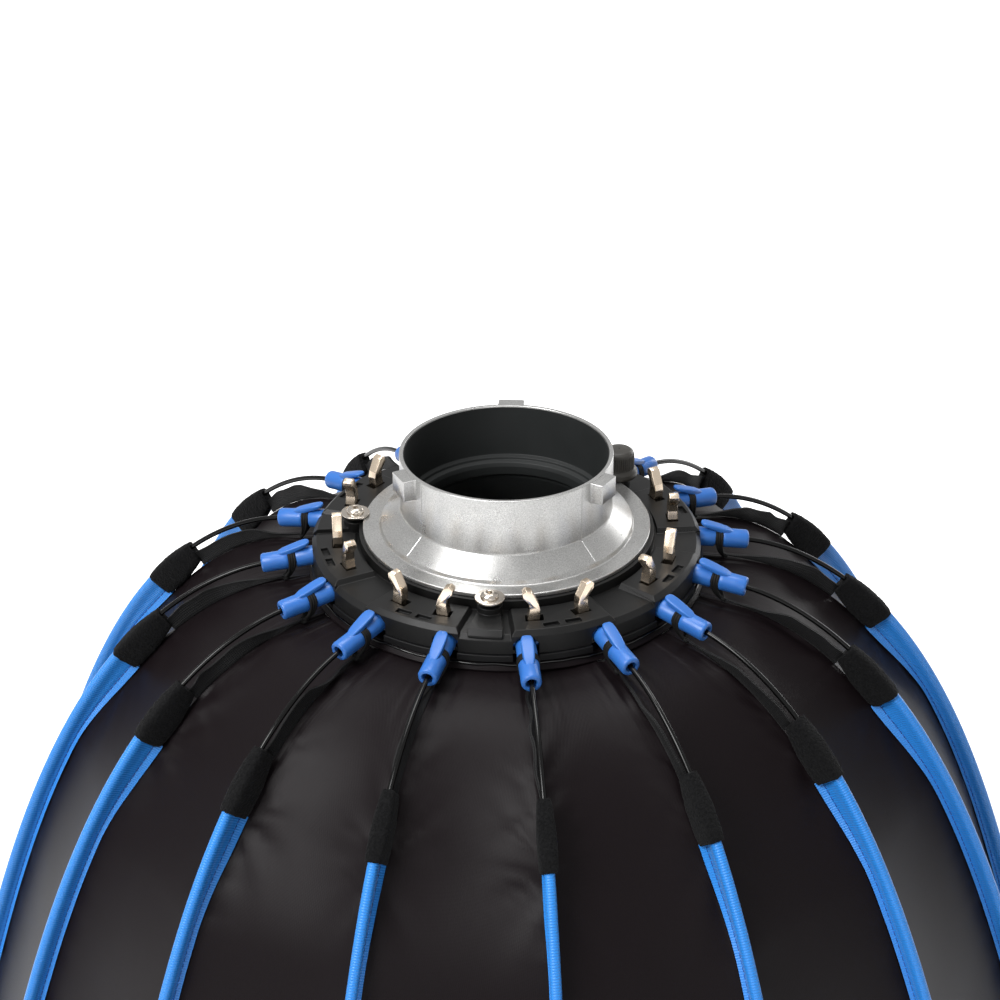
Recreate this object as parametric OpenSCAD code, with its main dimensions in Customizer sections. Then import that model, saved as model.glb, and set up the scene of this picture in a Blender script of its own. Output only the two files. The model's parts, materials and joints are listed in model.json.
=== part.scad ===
// Deep parabolic softbox that folds like an umbrella, with its speed ring and front honeycomb grid.
// Z points from the grid to the mount collar. The origin is on the axis, under the grid's front edge.
// An azimuth of 0 looks at the front (-Y), and it grows towards +X.

/* [Overall] */
// Height from the grid's front edge to the top of the mount collar
overall_h = 446; // [444:1:450]
// Azimuth of the first rib, in degrees
rib_phase = 5; // [0:1:22]

/* [Ribs] */
// Height of the rib hinges below the collar's top
pivot_drop = 49; // [48:0.5:50]
// Radius of the rib hinges
pivot_r = 86.3; // [86:0.1:87]
// Length of a rib from its hinge to its tip
rib_len = 440; // [400:4:448]
// Slope of a rib where it leaves the ring, in degrees
root_slope = 7.5; // [4:0.5:9]
// Slope that the rib tends to at the rim, in degrees
rim_slope = 76; // [72:1:80]
// Straight length at the root before the rib starts to bend
straight_len = 24; // [16:1:26]
// Length over which the bend dies away
bend_len = 92; // [80:1:120]
// Radius of a rod
rod_r = 1.5; // [1.2:0.1:1.8]
// Radius of the moulded end cap
cap_r = 4.5; // [4:0.1:4.6]
// Length of the end cap from the hinge
cap_len = 28; // [27:1:32]

/* [Speed ring] */
// Outer radius of the ring
ring_r = 90.4; // [89:0.2:92]
// Depth of the pods' tops below the collar's top
pod_drop = 41.6; // [41:0.2:42]
// Depth of the panels between the pods, below the pods' tops
panel_step = 2.2; // [1.5:0.1:2.6]
// Depth of the ring's lower face below the collar's top
ring_drop = 52.7; // [52:0.1:54]
// Thickness of the base plate
plate_t = 3.2; // [2.4:0.2:4]
// Radius at which the two clamp screws and the knob stand
clamp_r = 71; // [70.8:0.1:71.6]

/* [Mount collar] */
// Outer radius of the collar
collar_r = 49; // [48:0.5:49.5]
// Wall thickness at the collar's rim
collar_wall = 2.3; // [2:0.1:3]
// Length of the straight part of the collar
collar_h = 27; // [24:1:28]
// Outer radius of the flange
flange_r = 66.7; // [66:0.1:67]
// Distance that a bayonet lug stands out of the collar
lug_out = 5.5; // [4:0.5:6]
// Depth of the flange's top below the collar's top
flange_drop = 36.7; // [36:0.1:37.5]

/* [Fabric] */
// Thickness of the shell
shell_t = 0.9; // [0.6:0.1:1.4]
// Distance from a rod's centre line to the shell, which the sleeve bridges as a standing fin
fin_depth = 11; // [10:0.5:12]
// Distance along the rib at which the strap tab starts
tab_start = 83; // [80:1:90]
// Length of a strap tab
tab_len = 30; // [24:2:32]

/* [Grid] */
// Depth of the honeycomb grid
grid_h = 36; // [25:1:40]
// Distance across the flats of one cell
cell_flats = 46; // [40:1:60]
// Thickness of the cell walls
cell_wall = 1.2; // [1:0.1:2]

/* [Hidden] */
rib_count = 16;
rib_pitch = 360 / rib_count;
$fn = 64;
rod_sides = 6;
path_step = 2;

function id(k) = str(k < 10 ? "0" : "", k);
ribs = [0 : rib_count - 1];

top = overall_h;
pivot_z = top - pivot_drop;
pod_z = top - pod_drop;
panel_z = pod_z - panel_step;
ring_z = top - ring_drop;
plate_z = ring_z - plate_t;
flange_z = top - flange_drop;
flange_t = 2;
boss_z = flange_z - flange_t - 0.1;
neck_r = 57.9;
neck_fit = 0.06;
boss_r = 68.5;
chamfer = 2.2;

// Half-width of a rib's hood and of the notch that the cap swings in
hood_half = 6.2;
notch_half = 5.6;
notch_r = 81.5;
notch_roof = top - 44.2;
trunnion_r = 1.5;
trunnion_half = 8;
trunnion_fit = 0.05;

// Levers stand inside their rib, towards the middle of the pair
lever_r = 78.5;
lever_depth = 4.5;
lever_shift = 4.4;
lever_top = 14.5;
lever_foot = 5;
slot_w = 7;
slot_out = 5;
slot_deep = 1.6;

clamp_azimuths = [-6.25, -96.25];
knob_azimuth = 130;
lug_azimuths = [57, 177, 297];
lug_w = 12.4;
lug_h = 9.8;
knob_h = 14.4;
screw_r = 1.6;
screw_play = 0.1;
stud_r = 3;
plate_screw_r = 64;

// Points of the rib's centre line as [radius, height], every path_step from the hinge
function slope(s) = s < straight_len ? root_slope
    : rim_slope - (rim_slope - root_slope) * exp(-(s - straight_len) / bend_len);
rib_line = [
    for (i = 0, p = [pivot_r, pivot_z]; i <= rib_len / path_step;
         a = slope((i + 0.5) * path_step), p = p + path_step * [cos(a), -sin(a)], i = i + 1) p
];
function on_rib(s, lift = 0) = rib_line[round(s / path_step)] + lift * [sin(slope(s)), cos(slope(s))];

// Distances along the rib where the rod and the sleeve have their rings
rod_start = 8;
bare_end = tab_start + tab_len;
sleeve_start = bare_end + 3;
near_stops = [for (s = [rod_start : 12 : tab_start + tab_len]) s];
far_steps = 10;
far_stops = [for (i = [0 : far_steps]) sleeve_start + i * (rib_len - sleeve_start) / far_steps];
rod_stops = concat(near_stops, far_stops);
neck_hem_r = 84;
front_r = on_rib(rib_len, -fin_depth)[0];

module at_azimuth(a) { rotate([0, 0, a - 90]) children(); }
module at_rib(k) { at_azimuth(rib_phase + k * rib_pitch) children(); }
module each_rib() { for (k = ribs) at_rib(k) children(); }
module each_pod() { for (k = [0 : 2 : rib_count - 2]) at_azimuth(rib_phase + (k + 0.5) * rib_pitch) children(); }
// +1 where the middle of the lever pair lies at a larger azimuth than the rib
function inward(k) = k % 2 == 0 ? 1 : -1;

// A bar swept along the rib: section(s) gives its outline as [sideways, lift] pairs
function sweep_points(stops, section) = [
    for (s = stops) for (q = section) let (p = on_rib(s, q[1])) [p[0], q[0], p[1]]
];
function side_faces(rings, n, start, turn) = [
    for (i = [0 : rings - 2]) for (j = [0 : n - 1])
        let (a = start + i * n + j, b = start + i * n + (j + 1) % n)
            turn ? [a, a + n, b + n, b] : [a, b, b + n, a + n]
];
function ellipse(half_w, half_h, n, start) = [
    for (j = [0 : n - 1]) [half_w * cos(start + j * 360 / n), half_h * sin(start + j * 360 / n)]
];

module rod_shape() {
    n = rod_sides;
    rings = len(rod_stops);
    polyhedron(
        sweep_points(rod_stops, ellipse(rod_r, rod_r, n, 0)),
        concat(side_faces(rings, n, 0, false),
               [[for (j = [n - 1 : -1 : 0]) j], [for (j = [0 : n - 1]) (rings - 1) * n + j]])
    );
}

module sleeve_shape() {
    n = 8;
    rings = len(far_stops);
    outer = [[2.7, -0.8], [2.5, 1.5], [1.2, 2.8], [-1.2, 2.8], [-2.5, 1.5], [-2.7, -0.8],
             [-0.8, 0.6 - fin_depth], [0.8, 0.6 - fin_depth]];
    inner = [[1.9, -0.8], [1.9, 0.8], [0.8, 1.9], [-0.8, 1.9], [-1.9, 0.8], [-1.9, -0.8], [-0.8, -1.9], [0.8, -1.9]];
    last = (rings - 1) * n;
    second = rings * n;
    polyhedron(
        concat(sweep_points(far_stops, outer), sweep_points(far_stops, inner)),
        concat(
            side_faces(rings, n, 0, false),
            side_faces(rings, n, second, true),
            [for (j = [0 : n - 1]) let (i = (j + 1) % n) [i, j, second + j, second + i]],
            [for (j = [0 : n - 1]) let (i = (j + 1) % n) [last + j, last + i, second + last + i, second + last + j]]
        )
    );
}

// Black moulded ring: an annulus with a boss under the flange and eight raised pods
module ring_housing() color([0.12, 0.12, 0.13]) {
    difference() {
        union() {
            translate([0, 0, ring_z]) cylinder(r = ring_r, h = panel_z - ring_z - chamfer);
            translate([0, 0, panel_z - chamfer]) cylinder(r1 = ring_r, r2 = ring_r - chamfer, h = chamfer);
            translate([0, 0, panel_z - 1]) cylinder(r = boss_r, h = boss_z - panel_z + 1);
            pods();
            for (a = clamp_azimuths) at_azimuth(a) washer_panel();
            for (a = concat(clamp_azimuths, [knob_azimuth]))
                at_azimuth(a) translate([clamp_r, 0, panel_z - 1]) cylinder(r = 5.6, h = boss_z - panel_z + 1);
        }
        translate([0, 0, ring_z - 1]) cylinder(r = neck_r + neck_fit, h = 20);
        each_rib() cap_notch();
        for (k = ribs) at_rib(k) translate([0, inward(k) * lever_shift, 0]) lever_pocket(inward(k));
        for (a = clamp_azimuths) at_azimuth(a) translate([clamp_r, 0, ring_z + 2]) cylinder(r = screw_r, h = 30);
        at_azimuth(knob_azimuth) translate([clamp_r, 0, ring_z - 1]) cylinder(r = stud_r + screw_play, h = 30);
        // Release slots between the levers of a pair
        each_pod() for (side = [-1, 1])
            translate([83.4, side * slot_out - slot_w / 2, pod_z - slot_deep]) cube([3.2, slot_w, 3]);
    }
}

// Pods: the annulus sector between the outer edges of a pair of hoods
module pods() {
    half = rib_pitch / 2;
    difference() {
        union() {
            translate([0, 0, panel_z - chamfer]) cylinder(r = ring_r, h = pod_z - panel_z);
            translate([0, 0, pod_z - chamfer]) cylinder(r1 = ring_r, r2 = ring_r - chamfer, h = chamfer);
        }
        translate([0, 0, panel_z - 9]) cylinder(r = boss_r + 1.6, h = 20);
        // Gaps between pods, with sides along the neighbouring ribs and sloping faces
        each_pod() rotate([0, 0, rib_pitch]) pod_gap(half);
    }
}

module pod_gap(half) {
    depth = panel_step + chamfer + 1;
    for (side = [-1, 1]) intersection() {
        rotate([0, 0, side * half]) translate([0, -side * hood_half, 0]) gap_half(side, depth);
        rotate([0, 0, side * (half / 2)]) translate([60, -20, panel_z - chamfer - 1]) cube([40, 40, depth + 4]);
    }
}

// Half of a gap, from the rib's side plane over to the middle of the gap
module gap_half(side, depth) {
    wide = 14;
    translate([60, 0, pod_z]) rotate([90, 0, 90]) linear_extrude(40)
        polygon([
            [side * 1.6, 1], [side * 1.6, 0.0], [0, -panel_step - 0.01], [0, -depth],
            [-side * wide, -depth], [-side * wide, 1]
        ]);
}

// Raised trapezoid panel that carries a clamp screw, between two grooves
module washer_panel() {
    intersection() {
        translate([0, 0, panel_z - 1]) linear_extrude(panel_step + 1)
            polygon([[68, 4.2], [ring_r - chamfer, 7.6], [ring_r + 2, 7.6], [ring_r + 2, -7.6],
                     [ring_r - chamfer, -7.6], [68, -4.2]]);
        union() {
            translate([0, 0, panel_z - 5]) cylinder(r = ring_r, h = 5);
            translate([0, 0, pod_z - chamfer]) cylinder(r1 = ring_r, r2 = ring_r - chamfer, h = chamfer);
        }
    }
}

// Arched notch with a slot from below for the cap's trunnions
module cap_notch() {
    arch = notch_roof - 3.2;
    translate([notch_r, 0, 0]) rotate([90, 0, 90]) linear_extrude(ring_r)
        polygon([
            [-notch_half, ring_z - 1], [-notch_half, arch], [-notch_half + 3.2, notch_roof],
            [notch_half - 3.2, notch_roof], [notch_half, arch], [notch_half, ring_z - 1]
        ]);
    reach = trunnion_half + 0.3;
    translate([pivot_r, -reach, pivot_z]) rotate([-90, 0, 0])
        cylinder(r = trunnion_r + trunnion_fit, h = 2 * reach);
    translate([pivot_r - trunnion_r - trunnion_fit, -reach, ring_z - 1])
        cube([2 * (trunnion_r + trunnion_fit), 2 * reach, pivot_z - ring_z + 1]);
}

// Pocket that the lever's foot turns in, open at the pod's top
module lever_pocket(dir) {
    low = min(-dir * 3.6, dir * 4.4);
    translate([lever_r - lever_depth / 2 - 0.25, low, pod_z - lever_foot - 0.9])
        cube([lever_depth + 0.5, 8, lever_foot + 3]);
}

// Cover plate under the ring that closes the trunnion slots
module ring_base_plate() color([0.1, 0.1, 0.11]) {
    difference() {
        translate([0, 0, plate_z]) cylinder(r = ring_r + 1.2, h = plate_t);
        translate([0, 0, plate_z - 1]) cylinder(r = neck_r + neck_fit, h = plate_t + 2);
        each_rib() translate([notch_r, -notch_half, plate_z - 1]) cube([20, 2 * notch_half, plate_t + 2]);
        each_pod() translate([plate_screw_r, 0, plate_z - 1]) cylinder(r = screw_r, h = plate_t + 2);
        each_pod() translate([plate_screw_r, 0, plate_z - 1]) cylinder(r = 2 * screw_r, h = 2.4);
        at_azimuth(knob_azimuth) translate([clamp_r, 0, plate_z - 1])
            cylinder(r = stud_r + screw_play, h = plate_t + 2);
    }
}

// Two button-head clamp screws and eight base plate screws
module ring_screws() color([0.72, 0.7, 0.68]) {
    for (a = clamp_azimuths) at_azimuth(a) translate([clamp_r, 0, 0]) {
        difference() {
            union() {
                translate([0, 0, ring_z + 2.2]) cylinder(r = screw_r, h = flange_z + 1.5 - ring_z - 2.2);
                translate([0, 0, flange_z + 1.4]) button_head();
            }
            translate([0, 0, flange_z + 2.4]) cylinder(r = 1.4, h = 4, $fn = 6);
        }
    }
    each_pod() translate([plate_screw_r, 0, 0]) {
        translate([0, 0, plate_z + 0.2]) cylinder(r = 2.9, h = 1.2);
        translate([0, 0, plate_z + 0.3]) cylinder(r = screw_r, h = plate_t);
    }
}

module button_head() {
    rotate_extrude() polygon([[0, 0], [4.1, 0], [4.1, 0.8], [3.6, 1.7], [2.6, 2.3], [0, 2.5]]);
}

// Large washers that hold the flange down, each on its black spacer
module clamp_washers() color([0.75, 0.73, 0.71]) {
    for (a = clamp_azimuths) at_azimuth(a) translate([clamp_r, 0, 0]) {
        difference() {
            union() {
                translate([0, 0, flange_z + 0.2]) cylinder(r = 6.7, h = 1.2);
                translate([0, 0, boss_z]) cylinder(r = 4, h = flange_z + 0.3 - boss_z);
            }
            translate([0, 0, boss_z - 1]) cylinder(r = screw_r, h = 10);
        }
    }
}

// Knurled thumb knob on its stud
module lock_knob() color([0.2, 0.2, 0.2]) {
    at_azimuth(knob_azimuth) translate([clamp_r, 0, 0]) {
        difference() {
            union() {
                rotate_extrude() polygon([
                    [0, flange_z + 0.2], [9, flange_z + 0.2], [9, flange_z + 3.4], [7.6, flange_z + 4.6],
                    [7.6, flange_z + knob_h - 3], [6.6, flange_z + knob_h - 1.2],
                    [4, flange_z + knob_h - 0.3], [0, flange_z + knob_h]
                ]);
                translate([0, 0, boss_z + 0.2]) cylinder(r = 4, h = flange_z + 0.3 - boss_z);
                translate([0, 0, plate_z + 0.4]) cylinder(r = stud_r, h = flange_z - plate_z);
            }
            for (i = [0 : 23]) rotate([0, 0, i * 15])
                translate([8.1, 0, flange_z + 4.8]) cylinder(r = 0.7, h = knob_h - 8);
        }
    }
}

// Cast collar with three lugs, a cone and the flange that turns in the ring
module bayonet_adapter() color([0.8, 0.8, 0.79]) {
    bore_r = collar_r - collar_wall;
    difference() {
        union() {
            rotate_extrude() polygon([
                [bore_r - 0.3, top - 0.6], [bore_r + 0.5, top], [collar_r - 0.5, top], [collar_r, top - 0.5],
                [collar_r, top - collar_h], [neck_r + 0.4, flange_z + 1.8], [neck_r + 0.9, flange_z],
                [flange_r, flange_z], [flange_r, flange_z - flange_t], [neck_r, flange_z - flange_t],
                [neck_r, plate_z + 0.4], [neck_r - 4, plate_z + 0.4], [42, top - 34], [42, top - 30],
                [bore_r - 0.3, top - 26]
            ]);
            for (a = lug_azimuths) at_azimuth(a) translate([bore_r + 0.6, -lug_w / 2, top - lug_h - 0.4])
                cube([collar_wall - 0.6 + lug_out, lug_w, lug_h]);
        }
        translate([0, 0, top - 26]) cylinder(r = bore_r, h = 30);
    }
}

// Fabric shell: a revolved wall inside the ribs, from under the ring to the rim
module fabric_shell() color([0.1, 0.1, 0.1]) {
    stops = concat([8], [for (s = [24 : 20 : rib_len - 12]) s], [rib_len]);
    outer = concat([[neck_hem_r, plate_z - 0.4]], [for (s = stops) on_rib(s, -fin_depth)]);
    inner = concat([[neck_hem_r, plate_z - 0.4 - shell_t]], [for (s = stops) on_rib(s, -fin_depth - shell_t)]);
    last = len(outer) - 1;
    rotate_extrude() polygon(concat(outer, [for (i = [last : -1 : 0]) inner[i]]));
}

// Sewn fins that hold the ribs off the shell, from the strap tabs to the rim
module rod_sleeves() color([0.15, 0.42, 0.85]) {
    each_rib() sleeve_shape();
}

// Strap tabs round the rods where the sleeves start
module strap_tabs() color([0.08, 0.08, 0.08]) {
    low = on_rib(bare_end);
    high = on_rib(tab_start);
    tilt = atan2(high[1] - low[1], low[0] - high[0]);
    each_rib() translate([high[0], 0, high[1]]) rotate([0, tilt, 0]) difference() {
        translate([0, -4, 0.8 - fin_depth]) cube([tab_len, 8, fin_depth + 2.9]);
        translate([-1, 0, 0.45]) rotate([0, 90, 0]) cylinder(r = 2.45, h = tab_len + 2);
    }
}

// Translucent front cloth, just under the rib tips
module front_diffuser() color([0.95, 0.95, 0.95]) {
    translate([0, 0, grid_h + 1.2]) cylinder(r = front_r - 1, h = 0.8);
    difference() {
        translate([0, 0, grid_h]) cylinder(r = front_r, h = 2);
        translate([0, 0, grid_h - 1]) cylinder(r = front_r - 2, h = 4);
    }
}

// Band round the grid that the part stands on
module grid_border() color([0.07, 0.07, 0.07]) {
    difference() {
        cylinder(r = front_r + 0.6, h = grid_h);
        translate([0, 0, -1]) cylinder(r = front_r - 0.8, h = grid_h + 2);
    }
}

// Fabric cells of the honeycomb grid
module honeycomb_grid() color([0.06, 0.06, 0.06]) {
    grid_r = front_r - 0.8;
    pitch = cell_flats + cell_wall;
    rows = ceil(grid_r / (pitch * cos(30)));
    cell_r = cell_flats / 2 / cos(30);
    difference() {
        translate([0, 0, 0.5]) cylinder(r = grid_r, h = grid_h - 1);
        intersection() {
            translate([0, 0, -1]) cylinder(r = grid_r - cell_wall, h = grid_h + 2);
            union() for (row = [-rows : rows]) for (col = [-rows : rows]) {
                x = (col + abs(row % 2) / 2) * pitch;
                y = row * pitch * cos(30);
                if (norm([x, y]) < grid_r + cell_r / 2)
                    translate([x, y, -1]) rotate([0, 0, 30]) cylinder(r = cell_r, h = grid_h + 2, $fn = 6);
            }
        }
    }
}

// Bent spring rod of one rib
module rod(k) color([0.05, 0.05, 0.05]) at_rib(k) rod_shape();

// Moulded cap on the rod's end, with its trunnions and the hook for the elastic loop
module rod_cap(k) color([0.23, 0.49, 0.89]) {
    tilt = root_slope;
    at_rib(k) translate([pivot_r, 0, pivot_z]) rotate([0, tilt, 0]) {
        difference() {
            union() {
                rotate([0, 90, 0]) cylinder(r = cap_r, h = cap_len);
                sphere(r = cap_r);
                rotate([90, 0, 0]) cylinder(r = trunnion_r, h = 2 * trunnion_half, center = true);
                translate([8.5, -2.6, 3]) cube([12.5, 5.2, 2.6]);
            }
            // Waist that the elastic loop sits in, under the hook
            translate([12.6, -6, -6]) cube([3, 12, 3]);
            for (side = [-1, 1]) translate([12.6, side * 4.4 - 1.4, -6]) cube([3, 2.8, 9.2]);
            translate([cap_len - 7, 0, 0]) rotate([0, 90, 0]) cylinder(r = 2.6, h = 8);
            translate([rod_start - 0.2, 0, 0]) rotate([0, 90, 0]) cylinder(r = rod_r, h = cap_len);
        }
    }
}

// Bent finger lever, turning about a radial axis in its pod
module lever(k) color([0.8, 0.77, 0.72]) {
    out = -inward(k);
    at_rib(k) translate([lever_r - lever_depth / 2, inward(k) * lever_shift, pod_z])
        rotate([90, 0, 90]) linear_extrude(lever_depth)
            polygon([
                [out * 2.1, -lever_foot], [out * 2.6, 0.5], [out * 1.8, 4.5], [out * 2.4, 8],
                [out * 4.9, 11.6], [out * 5.0, 13.4], [out * 3.2, lever_top], [out * 1.0, 13.8],
                [out * -2.3, 7.4], [out * -2.9, 4.5], [out * -2.6, 0.5], [out * -2.1, -lever_foot]
            ]);
}

ring_housing();
ring_base_plate();
ring_screws();
clamp_washers();
lock_knob();
bayonet_adapter();
fabric_shell();
rod_sleeves();
strap_tabs();
front_diffuser();
grid_border();
honeycomb_grid();
for (k = ribs) rod(k);
for (k = ribs) rod_cap(k);
for (k = ribs) lever(k);
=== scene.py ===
"""Deep folding softbox with a honeycomb grid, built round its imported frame."""
import json
import math

import bmesh
import bpy
from mathutils import Matrix, Vector, noise


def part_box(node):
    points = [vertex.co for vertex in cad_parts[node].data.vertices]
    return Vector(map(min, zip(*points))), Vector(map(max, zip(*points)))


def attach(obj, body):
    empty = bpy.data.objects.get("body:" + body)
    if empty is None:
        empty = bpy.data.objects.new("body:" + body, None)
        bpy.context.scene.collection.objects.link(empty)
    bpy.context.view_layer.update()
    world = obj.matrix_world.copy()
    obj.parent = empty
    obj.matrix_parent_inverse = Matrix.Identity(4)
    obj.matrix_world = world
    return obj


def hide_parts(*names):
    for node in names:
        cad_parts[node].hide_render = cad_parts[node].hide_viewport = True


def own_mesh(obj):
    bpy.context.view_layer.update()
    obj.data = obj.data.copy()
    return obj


bl_info = {
    "name": "Folding softbox",
    "version": (1, 0, 0),
    "blender": (4, 5, 0),
    "location": "View3D > Sidebar > Softbox",
    "description": "Builds the softbox, its speed ring, ribs, shell, front cloth and honeycomb grid",
    "category": "Object",
}

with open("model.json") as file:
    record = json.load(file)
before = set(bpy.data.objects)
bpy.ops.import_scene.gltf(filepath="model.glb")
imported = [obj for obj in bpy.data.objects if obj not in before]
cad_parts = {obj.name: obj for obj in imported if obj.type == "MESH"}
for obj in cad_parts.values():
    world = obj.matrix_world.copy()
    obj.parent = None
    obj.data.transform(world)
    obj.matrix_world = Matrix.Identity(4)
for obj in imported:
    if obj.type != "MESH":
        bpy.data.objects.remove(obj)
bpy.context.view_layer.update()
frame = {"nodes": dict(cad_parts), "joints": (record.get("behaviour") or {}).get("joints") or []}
MM = 0.001
# Without a seed, noise_vector() would start from the clock
noise.seed_set(1)

# ---------------------------------------------------------------- places taken from the frame
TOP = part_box("bayonet_adapter")[1].z
RING_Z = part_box("ring_housing")[0].z
PLATE_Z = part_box("ring_base_plate")[0].z
FLANGE_DROP, POD_DROP = 36.7 * MM, 41.6 * MM
FLANGE_Z, POD_Z = TOP - FLANGE_DROP, TOP - POD_DROP
GRID_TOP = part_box("grid_border")[1].z
FRONT_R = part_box("grid_border")[1].x
CLAMP_AZIMUTHS = (-6.25, -96.25)
LUG_AZIMUTHS = (57, 177, 297)
MOULD_LINE_AZIMUTHS = (-51, 43, 130, 219)
PLATE_SCREW_R = 64 * MM
LEVER_R, LEVER_SHIFT, LEVER_DEPTH = 78.5 * MM, 4.4 * MM, 4.5 * MM
ROD_R, TRUNNION_R, TRUNNION_HALF = 1.2 * MM, 1.5 * MM, 8 * MM
RIB_PITCH = 22.5
HALF_GORE = math.radians(RIB_PITCH / 2)


class Rib:
    """One rib: its number, azimuth, body and hinge, read from the frame's fold joints."""

    def __init__(self, joint):
        self.fold = joint["name"]
        self.body = joint["child"]
        self.number = int(self.body[-2:])
        x, y, self.hinge_z = joint["pos_m"]
        self.hinge_r = math.hypot(x, y)
        self.azimuth = math.degrees(math.atan2(x, -y))
        self.turn = around(self.azimuth)
        self.tangent = Vector(joint["axis"])
        # +1 where the middle of the lever pair lies at a larger azimuth than the rib
        self.inward = 1 if self.number % 2 == 0 else -1


def around(azimuth):
    """Matrix that puts local +X on the radius at an azimuth, counted from -Y towards +X."""
    return Matrix.Rotation(math.radians(azimuth - 90), 4, "Z")


def joint_named(name):
    """The frame's row of a joint."""
    return next(j for j in frame["joints"] if j["name"] == name)


RIBS = sorted(
    (Rib(j) for j in frame["joints"] if j["name"].startswith("rib_fold")), key=lambda rib: rib.number
)
KNOB = Vector(joint_named("knob_turn")["pos_m"])
KNOB_AZIMUTH = math.degrees(math.atan2(KNOB.x, -KNOB.y))
CLAMP_R = KNOB.xy.length
FOLD = math.radians(joint_named("rib_fold")["range_deg"][1])

# ---------------------------------------------------------------- the rib's centre line
ROOT_SLOPE, RIM_SLOPE = 7.5, 76.0
STRAIGHT, BEND = 24 * MM, 92 * MM
RIB_LEN = 440 * MM
STEP = 2 * MM
FIN, FIN_SLACK = 11 * MM, 4.9 * MM
SLACK_EASE_IN, SLACK_EASE_OUT = 55 * MM, 70 * MM
TAB_START, TAB_END = 83 * MM, 113 * MM
# The outline of sleeve and tab, in mm: how deep it goes, and the height above which it keeps its size
SEAM_BOTTOM, TUBE_BOTTOM = -11.2, -2.0


def slope(s):
    """Angle of the rib below the horizon at a distance s from its hinge."""
    if s < STRAIGHT:
        return math.radians(ROOT_SLOPE)
    return math.radians(RIM_SLOPE - (RIM_SLOPE - ROOT_SLOPE) * math.exp(-(s - STRAIGHT) / BEND))


def rib_table():
    """Radius and height of the centre line, one row for each STEP."""
    r, z = RIBS[0].hinge_r, RIBS[0].hinge_z
    rows = [(r, z)]
    for i in range(round(RIB_LEN / STEP) + 8):
        a = slope((i + 0.5) * STEP)
        r, z = r + STEP * math.cos(a), z - STEP * math.sin(a)
        rows.append((r, z))
    return rows


RIB_LINE = rib_table()


def on_rib(s, lift=0.0, side=0.0):
    """Local point at distance s along a rib, lifted off its line and moved sideways."""
    at = max(0.0, s) / STEP
    i = min(int(at), len(RIB_LINE) - 2)
    t = at - i
    (r0, z0), (r1, z1) = RIB_LINE[i], RIB_LINE[i + 1]
    a = slope(s)
    return Vector((r0 + (r1 - r0) * t + lift * math.sin(a), side, z0 + (z1 - z0) * t + lift * math.cos(a)))


def smooth_step(t):
    """An even rise from 0 to 1 that starts and ends level."""
    t = max(0.0, min(1.0, t))
    return t * t * (3 - 2 * t)


def fin_depth(s):
    """How far under the rib the shell is sewn: deep at tabs and rim, shallower along the sleeves."""
    slack = smooth_step((s - TAB_END) / SLACK_EASE_IN) * smooth_step((RIB_LEN - s) / SLACK_EASE_OUT)
    return FIN - FIN_SLACK * slack


def tucked(s, lift):
    """A height of the sleeve's outline, in mm, drawn in to the depth that the seam has there."""
    if lift > TUBE_BOTTOM:
        return lift
    share = (fin_depth(s) / MM + TUBE_BOTTOM) / (FIN / MM + TUBE_BOTTOM)
    return TUBE_BOTTOM + (lift - TUBE_BOTTOM) * share


# ---------------------------------------------------------------- mesh helpers
def linked(name, data):
    """A new object with that data, in the scene."""
    obj = bpy.data.objects.new(name, data)
    bpy.context.scene.collection.objects.link(obj)
    return obj


def on_circle(radius, k, count, z=0.0):
    """The k-th of count points evenly round a circle on the Z axis."""
    a = 2 * math.pi * k / count
    return Vector((radius * math.cos(a), radius * math.sin(a), z))


def edge_object(name, points, edges):
    """An object of bare edges, for a node tree to run on."""
    mesh = bpy.data.meshes.new(name)
    mesh.from_pydata([tuple(p) for p in points], edges, [])
    return linked(name, mesh)


def mapped(obj, place):
    """Gives a mesh its map in metres. place(co) returns the two coordinates of a point."""
    layer = obj.data.uv_layers.new(name="cloth_map").data
    for loop, corner in zip(layer, obj.data.loops):
        loop.uv = place(obj.data.vertices[corner.vertex_index].co)


def shade_smooth(obj, smooth=True):
    """Shades every face smooth, or every face flat."""
    obj.data.polygons.foreach_set("use_smooth", [smooth] * len(obj.data.polygons))


def mesh_object(name, verts, faces, materials=(), smooth=True, sharp=40):
    """A new object at the origin from points and faces, shaded smooth up to an edge angle."""
    mesh = bpy.data.meshes.new(name)
    mesh.from_pydata([tuple(v) for v in verts], [], faces)
    for m in materials:
        mesh.materials.append(m)
    if smooth:
        mesh.polygons.foreach_set("use_smooth", [True] * len(mesh.polygons))
        mesh.set_sharp_from_angle(angle=math.radians(sharp))
    return linked(name, mesh)


def piece(obj, body, slot, *nodes):
    """Says what a finished piece rides on and hides the frame nodes it stands for; the slot is not used."""
    if nodes:
        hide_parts(*nodes)
    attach(obj, body)
    return obj


def merged(name, *objects):
    """Joins objects' meshes into one object, keeping each face's material."""
    verts, faces, mats, mat_of, smooth = [], [], [], [], []
    for o in objects:
        start = len(verts)
        slots = []
        for m in o.data.materials:
            if m not in mats:
                mats.append(m)
            slots.append(mats.index(m))
        verts.extend(o.matrix_world @ v.co for v in o.data.vertices)
        for f in o.data.polygons:
            faces.append([start + i for i in f.vertices])
            mat_of.append(slots[f.material_index] if slots else 0)
            smooth.append(f.use_smooth)
        bpy.data.objects.remove(o)
    made = mesh_object(name, verts, faces, mats)
    made.data.polygons.foreach_set("material_index", mat_of)
    made.data.polygons.foreach_set("use_smooth", smooth)
    return made


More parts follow.
